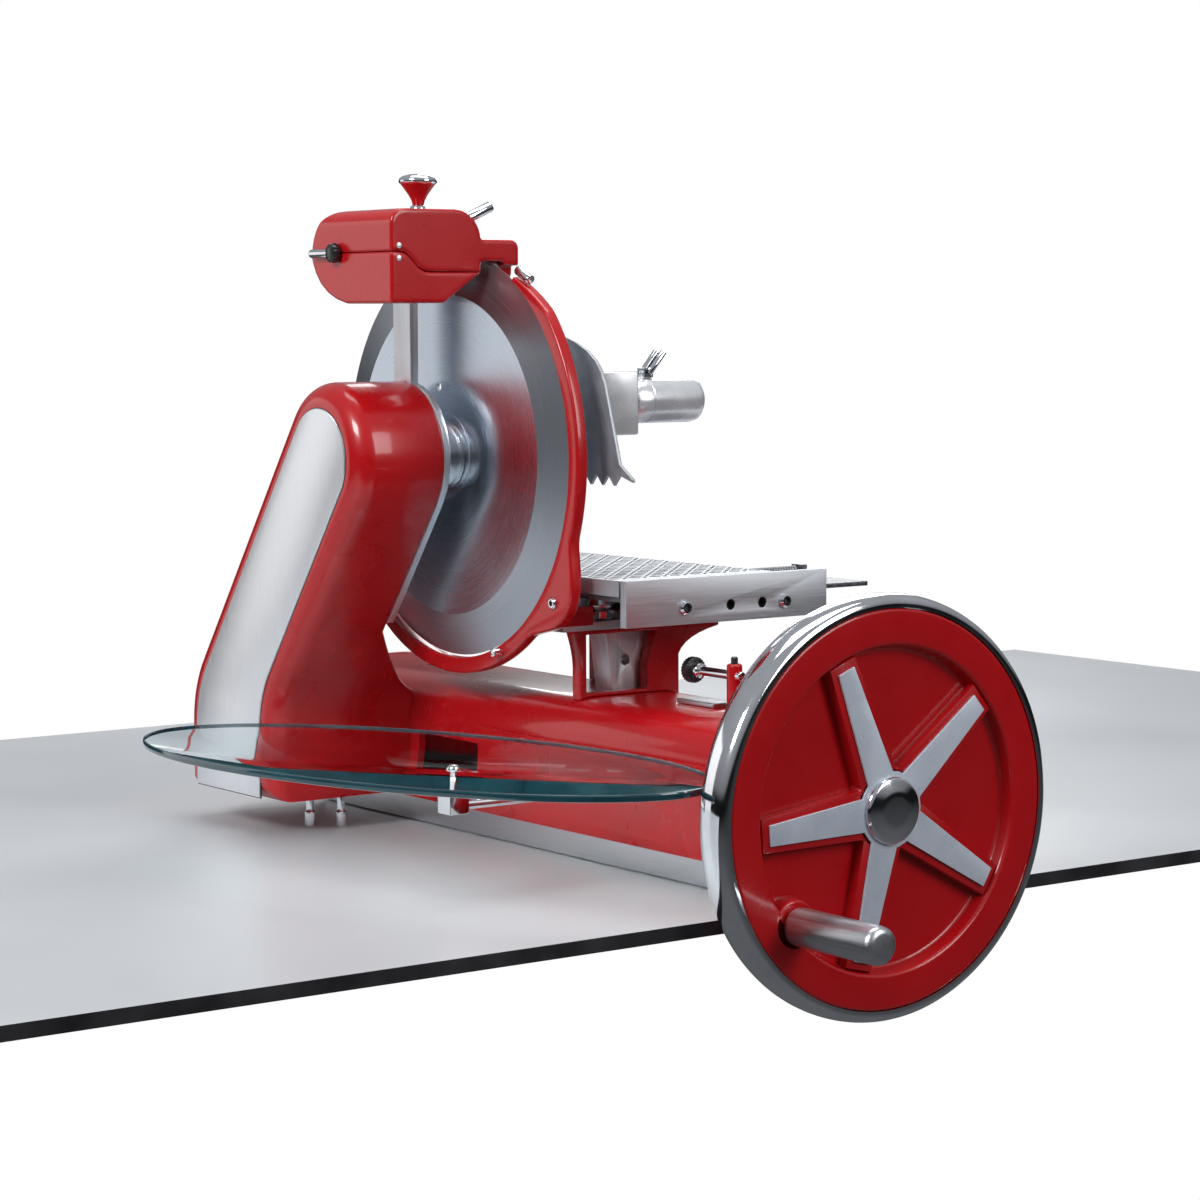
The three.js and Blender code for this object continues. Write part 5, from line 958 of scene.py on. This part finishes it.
# The stage, in metres: a pale counter whose dark edge lies just inside the flywheel
COUNTER_LEFT, COUNTER_RIGHT = -0.93, 0.362
COUNTER_FRONT, COUNTER_BACK = -1.6, 1.4
COUNTER_BOTTOM, COUNTER_TOP = -0.012, -0.0008
counter_top = shade("counter_top", (0.48, 0.50, 0.52), (0.53, 0.55, 0.57), metal=0.0, rough=(0.34, 0.42),
                    scale=2.5, coat=0.06)
counter_edge = shade("counter_edge", (0.01, 0.01, 0.012), (0.03, 0.03, 0.035), metal=0.0, rough=(0.3, 0.5),
                     scale=20)
corners = []
for z in (COUNTER_BOTTOM, COUNTER_TOP):
    corners += [(COUNTER_LEFT, COUNTER_FRONT, z), (COUNTER_RIGHT, COUNTER_FRONT, z)]
    corners += [(COUNTER_RIGHT, COUNTER_BACK, z), (COUNTER_LEFT, COUNTER_BACK, z)]
counter = bpy.data.meshes.new("counter")
faces = [(0, 3, 2, 1), (4, 5, 6, 7), (0, 1, 5, 4), (1, 2, 6, 5), (2, 3, 7, 6), (3, 0, 4, 7)]
counter.from_pydata(corners, [], faces)
counter.materials.append(counter_top)
counter.materials.append(counter_edge)
counter.polygons.foreach_set("material_index", [1, 0, 1, 1, 1, 1])
slab = bpy.data.objects.new("counter", counter)
bpy.context.scene.collection.objects.link(slab)


# Lamps, in metres and watts
def lamp(name, place, aim, size, power):
    """A soft rectangular lamp that looks at its aim."""
    data = bpy.data.lights.new(name, "AREA")
    data.shape = "RECTANGLE"
    data.size, data.size_y = size
    data.energy = power
    ob = bpy.data.objects.new(name, data)
    bpy.context.scene.collection.objects.link(ob)
    ob.location = place
    ob.rotation_euler = (Vector(aim) - Vector(place)).to_track_quat("-Z", "Y").to_euler()


lamp("key", (0.6, -2.6, 2.0), aim=(0, 0, 0.25), size=(1.0, 0.8), power=62)
lamp("side", (2.6, 0.9, 1.5), aim=(0.1, 0, 0.2), size=(1.2, 1.6), power=34)
lamp("top", (-0.2, 0.2, 2.4), aim=(-0.05, 0, 0.2), size=(1.8, 1.0), power=26)
lamp("front_left", (-2.3, -1.75, 0.55), aim=(-0.2, -0.2, 0.25), size=(1.7, 1.5), power=7.5)
lamp("rim", (-1.8, 1.6, 1.3), aim=(0, 0, 0.3), size=(1.0, 1.4), power=17)

# The world: a grey room with a dark band at eye height, and white where the camera or the glass looks
WORLD_STRENGTH = 0.38
LOW_GREY, LOW_COLOUR = 0.20, (0.30, 0.31, 0.33, 1)
HIGH_GREY, HIGH_COLOUR = 0.80, (0.92, 0.95, 1.0, 1)
BAND = ((0.40, 0.16), (0.47, 0.02), (0.53, 0.02), (0.57, 0.50), (0.64, 0.70))
BAND_TINT = (0.96, 0.98, 1.04)
world = bpy.data.worlds.new("studio")
bpy.context.scene.world = world
world.use_nodes = True
tree = world.node_tree
sky = tree.nodes["Background"]
white = tree.nodes.new("ShaderNodeBackground")
white.inputs["Color"].default_value = (1, 1, 1, 1)
white.inputs["Strength"].default_value = 1.0
coord = tree.nodes.new("ShaderNodeTexCoord")
split = tree.nodes.new("ShaderNodeSeparateXYZ")
tree.links.new(coord.outputs["Generated"], split.inputs["Vector"])
ramp = tree.nodes.new("ShaderNodeValToRGB")
first, last = ramp.color_ramp.elements
first.position, first.color = LOW_GREY, LOW_COLOUR
last.position, last.color = HIGH_GREY, HIGH_COLOUR
for position, grey in BAND:
    tinted = [grey * share for share in BAND_TINT]
    ramp.color_ramp.elements.new(position).color = (*tinted, 1)
height = tree.nodes.new("ShaderNodeMapRange")
height.inputs["From Min"].default_value = -1.0
tree.links.new(split.outputs["Z"], height.inputs["Value"])
tree.links.new(height.outputs["Result"], ramp.inputs["Fac"])
tree.links.new(ramp.outputs["Color"], sky.inputs["Color"])
sky.inputs["Strength"].default_value = WORLD_STRENGTH
path = tree.nodes.new("ShaderNodeLightPath")
most = tree.nodes.new("ShaderNodeMath")
most.operation = "MAXIMUM"
tree.links.new(path.outputs["Is Camera Ray"], most.inputs[0])
tree.links.new(path.outputs["Is Transmission Ray"], most.inputs[1])
pick = tree.nodes.new("ShaderNodeMixShader")
tree.links.new(most.outputs["Value"], pick.inputs["Fac"])
tree.links.new(sky.outputs["Background"], pick.inputs[1])
tree.links.new(white.outputs["Background"], pick.inputs[2])
tree.links.new(pick.outputs["Shader"], tree.nodes["World Output"].inputs["Surface"])

# The camera at the photo's angle: its place in metres, its sensor and lens in millimetres
CAMERA_PLACE = Vector((2.220, -1.591, 0.457))
CAMERA_LOOK = Vector((-0.80642268, 0.58454395, -0.08939143))
CAMERA_RIGHT = Vector((0.58720416, 0.80942716, -0.00435164))
CAMERA_UP = Vector((-0.06981213, 0.05600028, 0.99598707))
CAMERA_SENSOR, CAMERA_LENS = 36.0, 93.9
eye = bpy.data.cameras.new("photo")
eye.sensor_width = CAMERA_SENSOR
eye.lens = CAMERA_LENS
camera = bpy.data.objects.new("photo", eye)
bpy.context.scene.collection.objects.link(camera)
axes = Matrix((CAMERA_RIGHT, CAMERA_UP, -CAMERA_LOOK)).transposed()
camera.matrix_world = Matrix.Translation(CAMERA_PLACE) @ axes.to_4x4()
bpy.context.scene.camera = camera
bpy.context.scene.view_settings.view_transform = "Standard"
